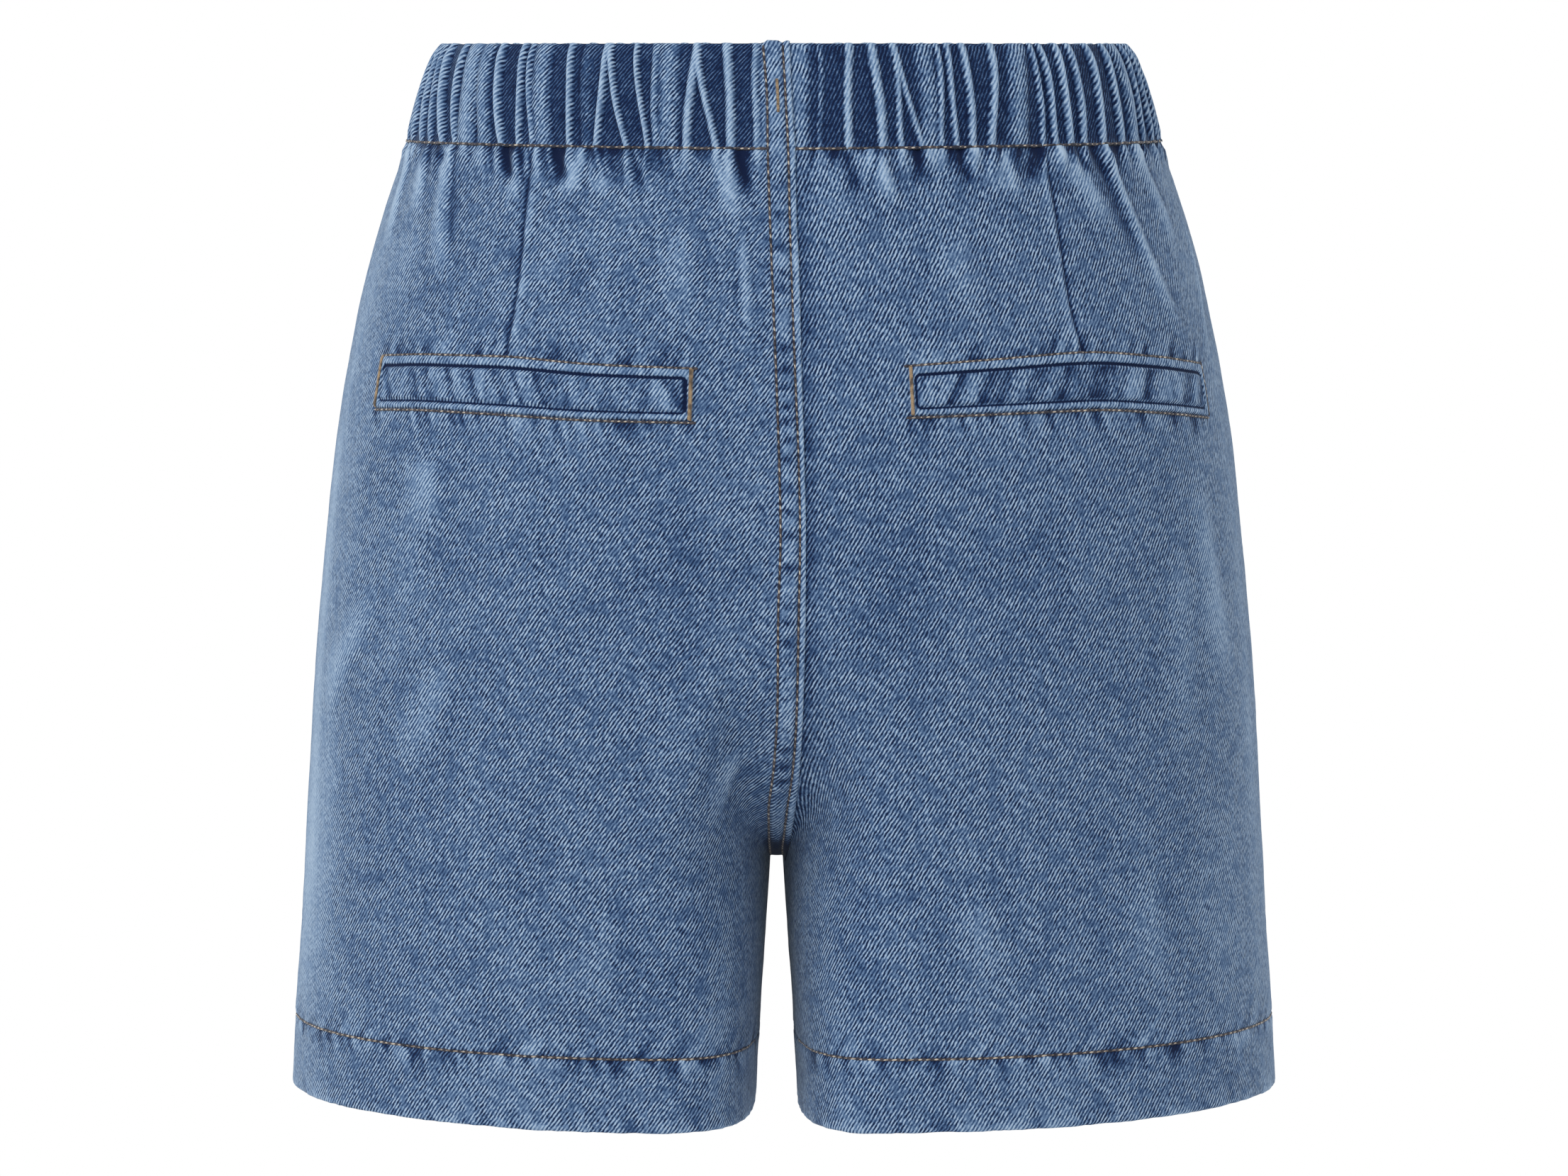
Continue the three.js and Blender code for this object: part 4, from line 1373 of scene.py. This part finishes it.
@dataclass
class WaistbandQuarter(Quarter):
    """A quarter of the gathered casing, folded over at the top edge round the elastic."""

    columns: int = 320
    step: float = 1.5
    fold_radius: float = 1.6
    inside_keep: float = 0.22
    cloth: float = 0.75
    grain_lean: float = 1.0

    def lay(self) -> ClothGrid:
        """Lays and gathers the casing.

        Returns:
            The grid.
        """
        outside = spaced(((self.fold_radius, 1.0), (5, self.step), (34, 0.7)), BAND_HEIGHT)
        inside = spaced(((self.fold_radius, 1.0), (4, 3.0)), BAND_HEIGHT)
        rows = turned_rows(outside, inside, self.fold_radius, True)
        shares = np.linspace(0, 1, self.columns)
        grid = lay_cloth(self.side, self.face, rows, shares)
        strength = seam_grip(rows.drops, WAIST_STITCH_DROP)
        inner = smooth_step(0.3, 2.2, rows.turns)
        strength = strength * (1 - inner) + self.inside_keep * inner
        strength *= 1 - 0.45 * np.sin(rows.turns)
        strength *= 0.6 + 0.4 * smooth_step(self.fold_radius, 6, rows.drops)
        Gathers(self.gathers).press(grid, strength)
        lean_grain(grid, self.grain_lean)
        fine = waver(31 + self.side.value, 2.4, grid.run + 0.11 * grid.rows.drops[:, None])
        grid.rise += 0.14 * fine * strength[:, None]
        return grid


@dataclass
class Panel(Quarter):
    """A back or front panel from the casing's stitching to inside the turned-up hem."""

    columns: int = 174
    step: float = 1.42
    hem_radius: float = 1.3
    cloth: float = 0.95
    wear_by_height: float = 0.26
    beside_centre: float = 7.0
    grain_lean: float = 1.0

    def shares(self) -> np.ndarray:
        """Column places, closer together along the dart."""
        if self.face is Face.FRONT:
            return np.linspace(0, 1, self.columns)
        dart = DARTS[self.side]
        at = [share_of(self.face, float(dart("bearing", d)), d) for d in (40.0, 76.0, 110.0)]
        even = np.linspace(0, 1, 4000)
        near = (even > min(at) - 0.012) & (even < max(at) + 0.012)
        weight = np.cumsum(np.where(near, 3.0, 1.0))
        weight = (weight - weight[0]) / (weight[-1] - weight[0])
        return np.interp(np.linspace(0, 1, self.columns), weight, even)

    def lay(self) -> ClothGrid:
        """Lays the panel and presses in its folds.

        Returns:
            The grid.
        """
        step = self.step
        bottom = HEM_DROP - self.hem_radius
        outside = spaced(
            (
                (BAND_HEIGHT + 0.2, 0.6), (42, step), (284, 1.1), (294, 0.6),
                (CROTCH_DROP - 0.1, 0.1), (CROTCH_DROP, 0.9), (304, step), (359.5, 0.55),
                (364.5, step),
            ),
            bottom,
        )
        inside = spaced(((HEM_TURN_DROP, 3.2),), bottom)
        rows = turned_rows(outside, inside, self.hem_radius, False)
        grid = lay_cloth(self.side, self.face, rows, self.shares())
        strength = seam_grip(rows.drops, WAIST_STITCH_DROP)
        Gathers(self.gathers).press(grid, strength)
        # worn gathers the creases' wear with their painted shade, and the table's wear with its
        # painted light on the side edges.
        folds, worn = np.zeros((2, *grid.rise.shape))
        for crease in creases(FOLD_ROWS):
            crease.press(grid, folds, worn)
        for row in WEAR_AND_LIGHT_ROWS:
            Crease(*row, start_keep=0.3).press(grid, folds, worn)
        self.rope_seams(grid, folds, worn)
        edge = smooth_step(0, 9, grid.run) * smooth_step(0, 7, grid.run[:, -1:] - grid.run)
        seed = 10 * self.face.value + self.side.value + 40
        for i, (height, pitch) in enumerate(((0.45, 62), (0.16, 15), (0.07, 6.5))):
            folds += edge * height * rumple(seed + i, pitch, grid.grain)
        folds *= self.free(grid)
        high = folds - blurred(folds, 7)
        grid.rise += folds
        grid.wear += worn + self.wear_by_height * high
        # Paler side edges: partly wear and partly painted light, stronger on the left side, which
        # faces the light.
        side_wear_and_light = 0.2 if self.side is Side.LEFT else 0.14
        grid.wear += side_wear_and_light * smooth_step(56, 80, grid.bearing)
        self.sew_in(grid)
        lean_grain(grid, self.grain_lean)
        return grid

    def free(self, grid: ClothGrid) -> np.ndarray:
        """Where the cloth is free to fold: less under the seam strip and by the crotch."""
        drops = grid.rows.drops[:, None]
        strip = 0.15 + 0.85 * smooth_step(6, 14, grid.run)
        strip = np.where(drops < CROTCH_DROP, strip, 1)
        crotch = np.hypot(grid.run, drops - CROTCH_DROP)
        return strip * smooth_step(8, 30, crotch)

    def off_dart(self, grid: ClothGrid) -> np.ndarray:
        """Distances across the cloth from the dart, rising away from the seat seam."""
        bearings = DARTS[self.side]("bearing", grid.rows.drops)
        return grid.run - by_row(bearings, grid.bearing, grid.run)[:, None]

    def rope_seams(self, grid: ClothGrid, rise: np.ndarray, wear: np.ndarray) -> None:
        """Puckers the cloth along its seams.

        Args:
            grid: The panel.
            rise: Its rise, changed in place.
            wear: Its wear and painted shading, changed in place.
        """
        seed = 100 + 10 * self.face.value + self.side.value
        lean = 0.35 * self.side.value
        drops = grid.rows.drops[:, None] + 0 * grid.run
        run = grid.run
        hem = drops - HEM_STITCH_DROP
        beside = np.where(drops < CROTCH_DROP - 6, run - self.beside_centre, -1)
        seams = [
            (run, hem, 5.0, 12, lean, 0.42, 0.42, 1.7),
            (run, -hem, 5.6, 15, lean * 2.2, 0.3, 0.3),
            (run, HEM_DROP - drops, 6.5, 16, -lean, 0.22, 0.16),
            (run, drops - BAND_HEIGHT, 6.4, 17, 0.2, 0.5, 0.4, 1.9),
            (drops, run[:, -1:] - run, 7.0, 7, 0.3, 0.25, 0.16),
            (drops, beside, 6.5, 5, 0.4, 0.2, 0.16),
        ]
        if self.face is Face.BACK:
            pocket = POCKETS[self.side]
            first, last = pocket.knots[0] - 0.4, pocket.knots[-1] + 0.4
            inside = (grid.bearing > first) & (grid.bearing < last)
            above = np.where(inside, pocket("top", grid.bearing) - drops, -1)
            below = np.where(inside, drops - pocket("bottom", grid.bearing), -1)
            seams += [
                (run, above, 5.0, 12, lean, 0.36, 0.36, 1.5),
                (run, below, 4.8, 13, lean, 0.4, 0.4, 1.5),
            ]
            off = self.off_dart(grid)
            for sign in (1, -1):
                away = np.where(drops < 112, sign * off - 0.6, -1)
                seams.append((drops, away, 5.6, 5, 0.3, 0.18, 0.16))
        for i, (along, away, *sizes) in enumerate(seams):
            Roping(seed + i, *sizes).press(along, away, rise, wear)

    def sew_in(self, grid: ClothGrid) -> None:
        """Pulls the cloth in along the hem's stitching, the seams' edges and the dart, and paints
        shade by the crotch and beside the seam strip.

        Args:
            grid: The panel, changed in place.
        """
        drops = grid.rows.drops[:, None]
        outer = np.cos(grid.rows.turns)[:, None] > 0.5
        pull = bell(drops - HEM_STITCH_DROP, 0.95) * outer
        grid.rise -= 0.42 * pull
        grid.wear -= 0.16 * pull
        # Painted shade beside the seam strip: a darker band along its raised folded edge, partly
        # unworn cloth and partly the edge's shadow.
        if self.side is Side.RIGHT and self.face is Face.BACK:
            seat = smooth_step(0, 45, CROTCH_DROP - drops)
            reach = STRIP("right", drops)
            beside = bell(grid.run - reach - 0.5, 3.6) * (drops < CROTCH_DROP)
            uneven = 0.7 + 0.3 * waver(23, 9, drops)
            grid.wear -= 0.24 * beside * uneven * (0.5 + 0.5 * seat)
        # Painted shade in the crotch: a broad faint darkening, and a deep one close to the crotch
        # point.
        crotch = np.hypot(grid.run / 30, (drops - CROTCH_DROP + 6) / 26)
        grid.wear -= 0.12 * bell(crotch, 1)
        crotch = np.hypot(grid.run / 6, (drops - CROTCH_DROP + 3) / 8)
        grid.wear -= 0.6 * bell(crotch, 1)
        edge = bell(drops - HEM_DROP, 2.2)
        worn = waver(7, 5.5, grid.run + 0 * drops)
        grid.wear += edge * (0.1 + 0.2 * worn)
        seam = bell(grid.run[:, -1:] - grid.run, 1.4)
        grid.rise -= 0.35 * seam
        grid.wear -= 0.22 * seam
        if self.face is Face.FRONT:
            centre = bell(grid.run, 1.3) * (drops < CROTCH_DROP + 4)
            grid.rise -= 0.35 * centre
            grid.wear -= 0.2 * centre
            return
        away = self.off_dart(grid)
        length = smooth_step(37, 39, drops) * (drops < 114)
        groove = bell(away, 0.75) * length
        ridge = bell(away + 2.3, 1.5) * length
        uneven = 0.75 + 0.35 * waver(17 + self.side.value, 4.0, drops + 0 * away)
        grid.rise += 0.45 * ridge * uneven - 0.55 * groove
        grid.wear += 0.24 * ridge * uneven - 0.5 * groove * (0.6 + 0.4 * uneven)


@dataclass
class SeamStrip:
    """The flat-felled strip over the centre back seam, from inside the casing to the crotch."""

    columns: int = 16
    step: float = 1.1
    end_drop: float = 298.2
    lift: float = 0.32
    cloth: float = 0.8
    fold_radius: float = 1.45
    roping: float = 4.6
    grain_shift: float = 400.0
    dark_drops: tuple[float, ...] = (
        61, 73, 81, 87, 107, 115, 121, 128, 133, 139, 146, 157, 165, 173, 184, 198, 204, 211,
        250, 257, 262,
    )

    def lay(self) -> tuple[Patch, Rows]:
        """Lays the strip.

        Returns:
            The finished patch and its rows.
        """
        outside = spaced(((self.fold_radius, 1.0), (4, self.step), (262, 0.8)), self.end_drop)
        inside = spaced(((self.fold_radius, 1.0), (4, 3.0)), BAND_HEIGHT)
        rows = turned_rows(outside, inside, self.fold_radius, True)
        drops = rows.drops
        share = np.linspace(0, 1, self.columns)
        left, right = STRIP("left", drops), STRIP("right", drops)
        reach = left[:, None] - (left + right)[:, None] * share
        off = reach - FORM.sections("shift", drops)[:, None]
        places = {
            side: FORM.place(side, Face.BACK, np.abs(off), drops[:, None] + 0 * off)
            for side in Side
        }
        form = np.where((off > 0)[..., None], places[Side.LEFT], places[Side.RIGHT])
        form[..., 0] = reach
        normal = self.normals(form, rows)
        base, direction = turn_over(form, normal, rows)
        left_row = (left - STRIP("left_row", drops))[:, None]
        right_row = (left + STRIP("right_row", drops))[:, None]
        at = (left + right)[:, None] * share
        width = (left + right)[:, None]
        crown = smooth_step(0, 1.8, at - left_row) * smooth_step(0, 1.8, right_row - at)
        lip = smooth_step(0, 0.9, at - right_row)
        end = smooth_step(self.end_drop + 1, self.end_drop - 8, drops)[:, None]
        # Painted shade: the strip darkens to near black over its last stretch before the crotch.
        shade = smooth_step(self.end_drop - 16, self.end_drop - 5, drops)[:, None]
        rise = -0.22 + 0.95 * crown + 0.95 * lip - 0.25 * np.clip(at - width + 0.6, 0, 1)
        diagonal = drops[:, None] + 0.35 * at
        rope = waver(3, self.roping * 0.5, diagonal)
        fell = crown + 0.8 * lip
        rise = rise + 0.26 * rope * fell
        middle = at - (left_row + right_row) / 2
        dark = sum(bell(drops[:, None] - drop, 1.5) for drop in self.dark_drops) * bell(middle, 2.4)
        rise = (rise - 0.3 * dark) * end + self.lift + 0.5 * shade
        rise = np.where(rows.turns[:, None] > 2, 0.3, rise)
        uneven = waver(5, 5.0, drops)[:, None]
        wear = 0.5 + 0.06 * crown + 0.2 * lip + 0.13 * rope * fell + 0.06 * uneven
        wear -= 0.45 * np.clip(dark, 0, 1)
        for row in (left_row, right_row):
            wear -= 0.16 * bell(at - row, 0.7)
        wear = wear * (1 - shade) - 0.42 * shade
        steps = np.linalg.norm(np.diff(base[:, 0], axis=0), axis=-1)
        grain = rows.grain(at + self.grain_shift, steps)
        return Patch(base + direction * rise[..., None], direction, grain, wear), rows

    def normals(self, form: np.ndarray, rows: Rows) -> np.ndarray:
        """Outward normals of the strip's places, the same all across a row."""
        firsts, nearest = rows.distinct()
        middle = form[firsts][:, self.columns // 2]
        down = np.gradient(middle, rows.drops[firsts], axis=0)
        normal = np.stack([0 * down[:, 0], -down[:, 2], down[:, 1]], axis=-1)
        normal /= np.linalg.norm(normal, axis=-1, keepdims=True)
        return np.repeat(normal[nearest][:, None], self.columns, axis=1)


@dataclass
class PocketWelt:
    """A welt pocket's frame: a top lip, the slot painted dark as shade, the roped welt and a narrow
    bottom lip.
    """

    side: Side
    width: float = 127.0
    height: float = 18.4
    top_lip: float = 3.5
    bottom_lip: float = 2.5
    side_lips: tuple[float, float] = (2.3, 2.6)
    corner: float = 1.6
    cloth: float = 0.85

    def shadow_outline(self, run: np.ndarray, h: np.ndarray) -> tuple[np.ndarray, np.ndarray]:
        """The welt's outline, painted dark as shade and thickest along the slot at its top.

        Args:
            run: Distances from the end nearer the seat seam.
            h: Distances below the frame's top.

        Returns:
            Distance outside the outline, negative on the welt, and the darkness of its painted
            shade.
        """
        near, far = self.side_lips
        middle = (near + self.width - far) / 2
        reach = np.abs(run - middle) - (self.width - near - far) / 2 + self.corner
        tall = self.height - self.top_lip - self.bottom_lip
        rest = np.abs(h - self.top_lip - tall / 2) - tall / 2 + self.corner
        away = np.hypot(np.maximum(reach, 0), np.maximum(rest, 0)) - self.corner
        away = away + np.minimum(np.maximum(reach, rest), 0)
        width = 0.3 + 0.17 * smooth_step(6, 4, h)
        strength = 0.66 + 0.3 * smooth_step(6, 4, h)
        return away, strength * np.exp(-((away / width) ** 4))

    def edge(self, run: np.ndarray, h: np.ndarray) -> np.ndarray:
        """Fades to 0 at the frame's outer edges."""
        nearest = np.minimum(np.minimum(run, self.width - run), np.minimum(h, self.height - h))
        return smooth_step(-0.3, 0.9, nearest)

    def lay(self, panel: ClothGrid, patch: Patch) -> tuple[Patch, np.ndarray]:
        """Lays the frame on its panel.

        Args:
            panel: The panel's grid.
            patch: The panel's finished patch.

        Returns:
            The finished patch, and the height of each of its rows below the frame's top.
        """
        table = POCKETS[self.side]
        start, end = float(table.knots[0]), float(table.knots[-1])
        run = spaced(((0, 0.3), (5.4, 0.88), (self.width - 5.4, 0.3)), self.width)
        bearings = start + (end - start) * run / self.width
        tops, bottoms = table("top", bearings), table("bottom", bearings)
        heights = spaced(((0, 0.35), (2.8, 0.2), (5.0, 0.6), (14.6, 0.25)), self.height)
        found = [
            [
                patch.at(*panel.cell(b, top + (bottom - top) * h / self.height))
                for b, top, bottom in zip(bearings, tops, bottoms)
            ]
            for h in heights
        ]
        surface, normal, grain, wear = (
            np.array([[place[i] for place in row] for row in found]) for i in range(4)
        )
        h, run = heights[:, None], run[None, :]
        seed = 60 + self.side.value
        away, line = self.shadow_outline(run, h)
        lip = smooth_step(0.25, 1.0, away) * self.edge(run, h)
        welt = smooth_step(0.3, 1.5, -away)
        hug = np.exp(-np.clip(-away, 0, None) / 3.0) * welt
        rope = waver(seed, 3.1, run + 0.45 * h)
        rope_fine = waver(seed + 1, 1.2, run - 0.1 * h)
        rise = 0.12 + 0.6 * lip + 0.8 * welt
        rise = (rise + 0.3 * rope * welt + 0.12 * rope_fine * lip) * (1 - 0.85 * line)
        wear = 0.55 * wear + 0.45 * 0.5
        wear = wear + 0.16 * lip + 0.22 * np.clip(rope, 0, 1) * welt
        wear = wear - 0.6 * np.clip(-rope, 0, 1) * (0.35 * welt + 0.8 * hug)
        # The outline is painted dark as the shade of the slot and the lip edges.
        wear = wear + rope_fine * (0.12 * lip + 0.1 * welt) - 1.1 * line - 0.05 * hug
        # Painted shadow: a dark slanted gap at the near end of the left welt.
        if self.side is Side.LEFT:
            shade_slant = run - 3.1 + 0.05 * h
            gap = bell(shade_slant, 0.6) * (h > 4) * (h < 15.5)
            wear = wear - 0.8 * gap
            rise = rise * (1 - 0.6 * gap)
        return Patch(surface + normal * rise[..., None], normal, grain, wear), heights


# The whole garment


@dataclass
class Shorts:
    """All pieces of the shorts and their sewing."""

    finishes: tuple[bpy.types.Material, bpy.types.Material]
    thread: bpy.types.Material
    stitch_shadow: bpy.types.Material
    tacking: bpy.types.Material

    def build(self) -> None:
        """Makes every piece and puts it on the garment."""
        waist_rows, hem_rows = [], []
        for side, face in QUARTERS:
            waist_rows += self.casing(side, face)
            hem_rows += self.panel(side, face)
        sew("waist_stitching", waist_rows, self.thread, self.stitch_shadow)
        sew("hem_stitching", hem_rows, self.thread, self.stitch_shadow)
        self.centre_seam()

    def casing(self, side: Side, face: Face) -> list[StitchRow]:
        """Makes a quarter of the casing.

        Args:
            side: Left or right.
            face: Back or front.

        Returns:
            The rows that sew its foot to the panel.
        """
        band = WaistbandQuarter(side, face, 320 if face is Face.BACK else 240)
        grid = band.lay()
        patch = grid.finish()
        node = f"waistband_{band.name}"
        self.piece(f"casing_{band.name}", patch, band.cloth, "gathered_denim", node, "gathered")
        inner = (3.2 if side is Side.LEFT else 1.9) if face is Face.BACK else 0.5
        knots = [(bearing, WAIST_STITCH_DROP) for bearing in np.linspace(inner, 89.8, 30)]
        path = trace(grid, patch, knots)
        return with_shadow_bed(path, pitch=2.9, length=2.0, width=0.66, lift=0.2, tilt=0.12)

    def panel(self, side: Side, face: Face) -> list[StitchRow]:
        """Makes a panel, and a back one's pocket. The front ones are coarser.

        Args:
            side: Left or right.
            face: Back or front.

        Returns:
            The rows that sew its hem.
        """
        columns, step = (174, 1.42) if face is Face.BACK else (116, 2.3)
        panel = Panel(side, face, columns, step)
        grid = panel.lay()
        patch = grid.finish()
        node = f"{face.name.lower()}_panel_{side.name.lower()}"
        self.piece(f"panel_{panel.name}", patch, panel.cloth, "denim", node, "hung")
        if face is Face.BACK:
            self.pocket(side, grid, patch)
        knots = [(bearing, HEM_STITCH_DROP) for bearing in np.linspace(2.5, 89.9, 40)]
        path = trace(grid, patch, knots)
        return with_shadow_bed(path, pitch=3.0, length=2.5, width=0.7, lift=0.16, tilt=0.1)

    def piece(
        self, name: str, patch: Patch, cloth: float, slot: str, node: str, held: str
    ) -> None:
        """Args:
            name: The piece's name.
            patch: Its finished patch.
            cloth: Thickness of the cloth in millimetres.
            slot: The record's material slot. Not used.
            node: The CAD node.
            held: How the cloth is held. Not used.
        """
        piece = make_cloth(name, patch, self.finishes, cloth)
        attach(piece, "root")
        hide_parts(node)
        width, length = self.flat_size(patch)
        area = min(self.area(patch), width * length)
        rows, columns = patch.surface.shape[:2]
        log.info("%s: %d by %d places", name, rows, columns)
        log.info("%s: %.3f by %.3f m flat, %.4f m2", name, width, length, area)

    def flat_size(self, patch: Patch) -> tuple[float, float]:
        """Width and length of a patch laid flat, in metres."""
        along = np.linalg.norm(np.diff(patch.surface, axis=1), axis=-1).sum(axis=1)
        down = np.linalg.norm(np.diff(patch.surface, axis=0), axis=-1).sum(axis=0)
        return float(along.max() * MM), float(down.max() * MM)

    def area(self, patch: Patch) -> float:
        """Area of a patch in square metres."""
        one = patch.surface[1:, 1:] - patch.surface[:-1, :-1]
        two = patch.surface[1:, :-1] - patch.surface[:-1, 1:]
        return float(np.linalg.norm(np.cross(one, two), axis=-1).sum() / 2 * MM**2)

    def pocket(self, side: Side, grid: ClothGrid, panel: Patch) -> None:
        """Makes a pocket's frame with its stitching and bar tacks.

        Args:
            side: Left or right.
            grid: The back panel's grid.
            panel: The back panel's finished patch.
        """
        welt = PocketWelt(side)
        patch, heights = welt.lay(grid, panel)
        label = side.name.lower()
        node = f"pocket_welt_{label}"
        self.piece(f"pocket_frame_{label}", patch, welt.cloth, "welt_denim", node, "laid")
        table = POCKETS[side]
        start, end = float(table.knots[0]), float(table.knots[-1])
        bearings = np.linspace(start, end, 60)
        rows = []
        for name, offset in (("top", -0.1), ("bottom", 0.75)):
            knots = [(b, float(table(name, b)) + offset) for b in bearings]
            path = trace(grid, panel, knots)
            rows += with_shadow_bed(path, pitch=2.5, length=1.8, width=0.62, lift=0.36, tilt=0.12)
        if side is Side.RIGHT:
            column = patch.surface.shape[1] - 1.8
            path = [patch.at(r, column)[:2] for r in np.linspace(1, len(heights) - 2.01, 40)]
            rows += with_shadow_bed(path, pitch=2.5, length=1.9, width=0.6, lift=0.3, tilt=0.12)
        sew(f"pocket_stitching_{label}", rows, self.thread, self.stitch_shadow)
        tacks = []
        last = patch.surface.shape[1] - 1
        ends = ((2.6, 2.0), (last - 2.6, 2.1)) if side is Side.LEFT else ((2.6, 1.7),)
        for column, width in ends:
            path = [patch.at(r, column)[:2] for r in np.linspace(0, len(heights) - 1.01, 40)]
            sizes = {"length": width, "width": 0.46, "height": 0.5, "lift": 0.3}
            tacks.append(StitchRow(path, pitch=0.42, tilt=1.3, **sizes))
        sew(f"pocket_tacks_{label}", tacks, self.tacking)

    def centre_seam(self) -> None:
        """Makes the strip over the centre back seam with its two rows and the waist's bar tack."""
        strip = SeamStrip()
        patch, rows = strip.lay()
        self.piece("seam_strip", patch, strip.cloth, "seam_denim", "centre_back_seam", "laid")
        outside = np.arange(rows.outside.start, rows.outside.stop)
        stitches = []
        for name, sign in (("left_row", -1), ("right_row", 1)):
            path = []
            for row in outside[2:-3]:
                drop = rows.drops[row]
                left, right = float(STRIP("left", drop)), float(STRIP("right", drop))
                column = (left + sign * float(STRIP(name, drop))) / (left + right)
                path.append(patch.at(row, column * (strip.columns - 1))[:2])
            stitches += with_shadow_bed(path, pitch=3.3, length=2.0, width=0.6, lift=0.18, tilt=0.1)
        sew("seam_stitching", stitches, self.thread, self.stitch_shadow)
        path = []
        for drop in np.linspace(13.5, 25, 24):
            numbers = np.arange(len(outside))
            row = outside[0] + float(np.interp(drop, rows.drops[rows.outside], numbers))
            path.append(patch.at(row, 0.47 * (strip.columns - 1))[:2])
        sizes = {"length": 1.35, "width": 0.45, "height": 0.45, "lift": 0.3}
        tack = StitchRow(path, pitch=0.45, tilt=1.5, **sizes)
        sew("waist_tack", [tack], self.tacking)


# The picture


@dataclass(frozen=True)
class Studio:
    """Camera, soft light and the pale floor."""

    distance: float = 2.4
    eye_height: float = 0.02
    down: float = 4.8
    lens: float = 149.53
    floor_height: float = -1.0
    floor_reach: float = 1.5
    key_power: float = 34.0
    key_at: tuple[float, float, float] = (1.5, 2.1, 1.5)
    key_size: float = 1.3
    sky: float = 0.72

    def make(self) -> None:
        """Sets up the camera, the light and the floor."""
        camera = bpy.data.cameras.new("camera")
        camera.lens = self.lens
        camera.sensor_width = 36.0
        eye = placed("camera", camera)
        eye.location = (0, self.distance, self.eye_height)
        eye.rotation_euler = (math.radians(90 - self.down), 0, math.pi)
        bpy.context.scene.camera = eye
        light = bpy.data.lights.new("key", "AREA")
        light.energy = self.key_power
        light.size = self.key_size
        lamp = placed("key", light)
        lamp.location = self.key_at
        lamp.rotation_euler = (-Vector(self.key_at)).to_track_quat("-Z", "Y").to_euler()
        self.make_sky()
        self.make_floor()
        bpy.context.scene.view_settings.view_transform = "Standard"

    def make_sky(self) -> None:
        """Even light from all round, and plain white behind the garment."""
        world = bpy.data.worlds.new("sky")
        bpy.context.scene.world = world
        tree = Tree(world)
        seen = tree.add("ShaderNodeLightPath").outputs["Is Camera Ray"]
        light, white = (
            tree.add("ShaderNodeBackground", None, Color=colour, Strength=strength).outputs[0]
            for colour, strength in (((0.97, 0.98, 1.0, 1.0), self.sky), ((1.0,) * 4, 1.0))
        )
        mix = tree.add("ShaderNodeMixShader", None, s0=seen, s1=light, s2=white).outputs[0]
        tree.add("ShaderNodeOutputWorld", None, Surface=mix)

    def make_floor(self) -> None:
        """A pale round floor below the garment."""
        mesh = bpy.data.meshes.new("floor")
        bm = bmesh.new()
        bmesh.ops.create_circle(bm, cap_ends=True, segments=96, radius=self.floor_reach)
        for vertex in bm.verts:
            vertex.co.z = self.floor_height
        for face in bm.faces:
            face.normal_update()
            if face.normal.z < 0:
                face.normal_flip()
        bm.to_mesh(mesh)
        bm.free()
        tree = Tree(bpy.data.materials.new("pale_floor"))
        mesh.materials.append(tree.finished(Base_Color=(0.85, 0.85, 0.85, 1.0), Roughness=0.8))
        placed("floor", mesh)


def main() -> None:
    """Builds the shorts and the picture."""
    logging.basicConfig(level=logging.INFO, format="%(name)s: %(message)s")
    finishes = OUTSIDE.make(), INSIDE.make()
    Shorts(finishes, SEWING.make(), STITCH_SHADOW.make(), TACKING.make()).build()
    Studio().make()
    bpy.context.view_layer.update()


if __name__ == "__main__":
    main()
